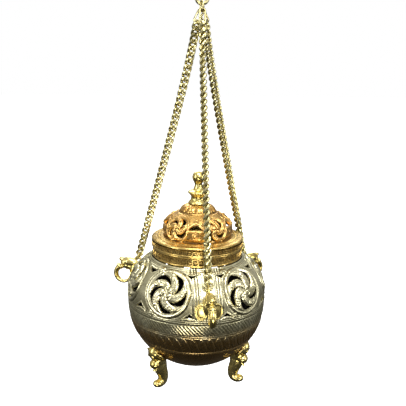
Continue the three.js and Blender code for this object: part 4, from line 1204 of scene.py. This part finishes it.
end_loops = {place: end_loop(place, azimuth) for place, azimuth in LUGS.items()}
jump_loops = {place: jump_loop(place, azimuth) for place, azimuth in LUGS.items()}

# %% [markdown]
# ## Which body each piece rides on
# Chains, lugs, feet and collar move with the bowl; dome, crown, finial and rim are the lid.

# %% Ride and replace
def belongs(piece, body, slot, *nodes):
    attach(piece, body)
    if nodes:
        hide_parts(*nodes)


for piece in bowl_pieces:
    belongs(piece, "censer", "pale_brass", "bowl")
belongs(collar, "censer", "golden_bronze", "neck_collar")
belongs(collar_keys, "censer", "golden_bronze")
belongs(pan, "pan", "sooted_pan", "charcoal_pan")
belongs(rim, "lid", "golden_bronze", "lid_rim")
belongs(rim_keys, "lid", "golden_bronze")
belongs(shoulder_beads, "lid", "golden_bronze")
belongs(dome, "lid", "copper_bronze", "lid_dome")
belongs(crown, "lid", "copper_bronze", "lid_crown")
belongs(finial, "lid", "polished_brass", "finial")
belongs(top_ring, "ring", "chain_brass", "suspension_ring")
belongs(joining, "joiner", "chain_brass", "joining_link")
for place in LUGS:
    belongs(lugs[place], "censer", "polished_brass", "lug_" + place)
    belongs(chains[place], "censer", "chain_brass", "chain_" + place)
    belongs(end_loops[place], "censer", "chain_brass", "chain_end_link_" + place)
    belongs(jump_loops[place], "censer", "chain_brass", "jump_ring_" + place)
for place in FEET:
    belongs(feet[place], "censer", "polished_brass", "foot_" + place)
kept = [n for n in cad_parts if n.startswith(("lug_rivet", "foot_rivet", "finial_washer", "finial_nut"))]
for name in kept:
    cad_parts[name].data.materials.clear()
    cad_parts[name].data.materials.append(YELLOW)
print("CAD nodes kept:", kept)

# %% [markdown]
# ## Floor and light
# Polished metal shows its surroundings, so the light is a room of soft panels with dark gaps
# between them: front, top, left, right, low and back, over a pale floor.

# %% Floor and light
floor_mesh = bpy.data.meshes.new("floor")
floor_mesh.from_pydata([(-4, -4, 0), (4, -4, 0), (4, 4, 0), (-4, 4, 0)], [], [(0, 1, 2, 3)])
floor = new_object("floor", floor_mesh)
floor.location.z = SOLE / MM - 0.07
floor_paint = bpy.data.materials.new("pale_floor")
floor_paint.use_nodes = True
for label, value in {"Base Color": (0.93, 0.93, 0.93, 1), "Roughness": 0.9,
                     "Emission Color": (1, 1, 1, 1), "Emission Strength": 0.6}.items():
    floor_paint.node_tree.nodes["Principled BSDF"].inputs[label].default_value = value
floor_mesh.materials.append(floor_paint)
floor.visible_glossy = False


def panel(name, at, aim, width, height, power, colour=(1, 1, 1)):
    light = bpy.data.lights.new(name, "AREA")
    light.shape, light.size, light.size_y = "RECTANGLE", width, height
    light.energy, light.color = power, colour
    lamp = new_object(name, light)
    lamp.location = at
    lamp.rotation_euler = (Vector(aim) - Vector(at)).to_track_quat("-Z", "Y").to_euler()


middle = (0, 0, -0.2)
panel("front_panel", (0.12, -0.8, 0.35), middle, 0.42, 0.3, 5)
panel("top_panel", (-0.02, -0.22, 0.75), middle, 0.5, 0.3, 8)
panel("left_panel", (-0.9, -0.35, 0.05), middle, 0.2, 0.7, 4.5)
panel("right_panel", (0.85, -0.5, -0.05), middle, 0.14, 0.6, 2.5)
panel("low_panel", (-0.1, -0.8, -0.5), middle, 0.5, 0.2, 4, (1, 0.94, 0.82))
panel("back_panel", (0.1, 0.9, 0.5), middle, 0.8, 0.4, 6)

world = bpy.data.worlds.new("studio")
bpy.context.scene.world = world
world.use_nodes = True
sky = world.node_tree
outward = node(sky, "ShaderNodeTexCoord").outputs["Generated"]
direction = node(sky, "ShaderNodeSeparateXYZ", {0: outward}).outputs["Z"]
levels = node(sky, "ShaderNodeValToRGB", {0: ramp(sky, direction, -1, 1)})
stops = ((0.0, 0.03), (0.3, 0.1), (0.45, 0.3), (0.52, 0.6), (0.6, 0.34), (0.74, 0.62), (1.0, 0.8))
while len(levels.color_ramp.elements) < len(stops):
    levels.color_ramp.elements.new(0.5)
for element, (at, value) in zip(levels.color_ramp.elements, stops):
    element.position = at
    element.color = (value, value, value * 0.97, 1)
sky.links.new(levels.outputs[0], sky.nodes["Background"].inputs["Color"])
seen = node(sky, "ShaderNodeLightPath").outputs["Is Camera Ray"]
paper = node(sky, "ShaderNodeBackground", {"Color": (1, 1, 1, 1), "Strength": 1.0}).outputs[0]
mixed = node(sky, "ShaderNodeMixShader", {0: seen, 1: sky.nodes["Background"].outputs[0], 2: paper}).outputs[0]
sky.links.new(mixed, sky.nodes["World Output"].inputs["Surface"])
bpy.context.scene.view_settings.view_transform = "Standard"
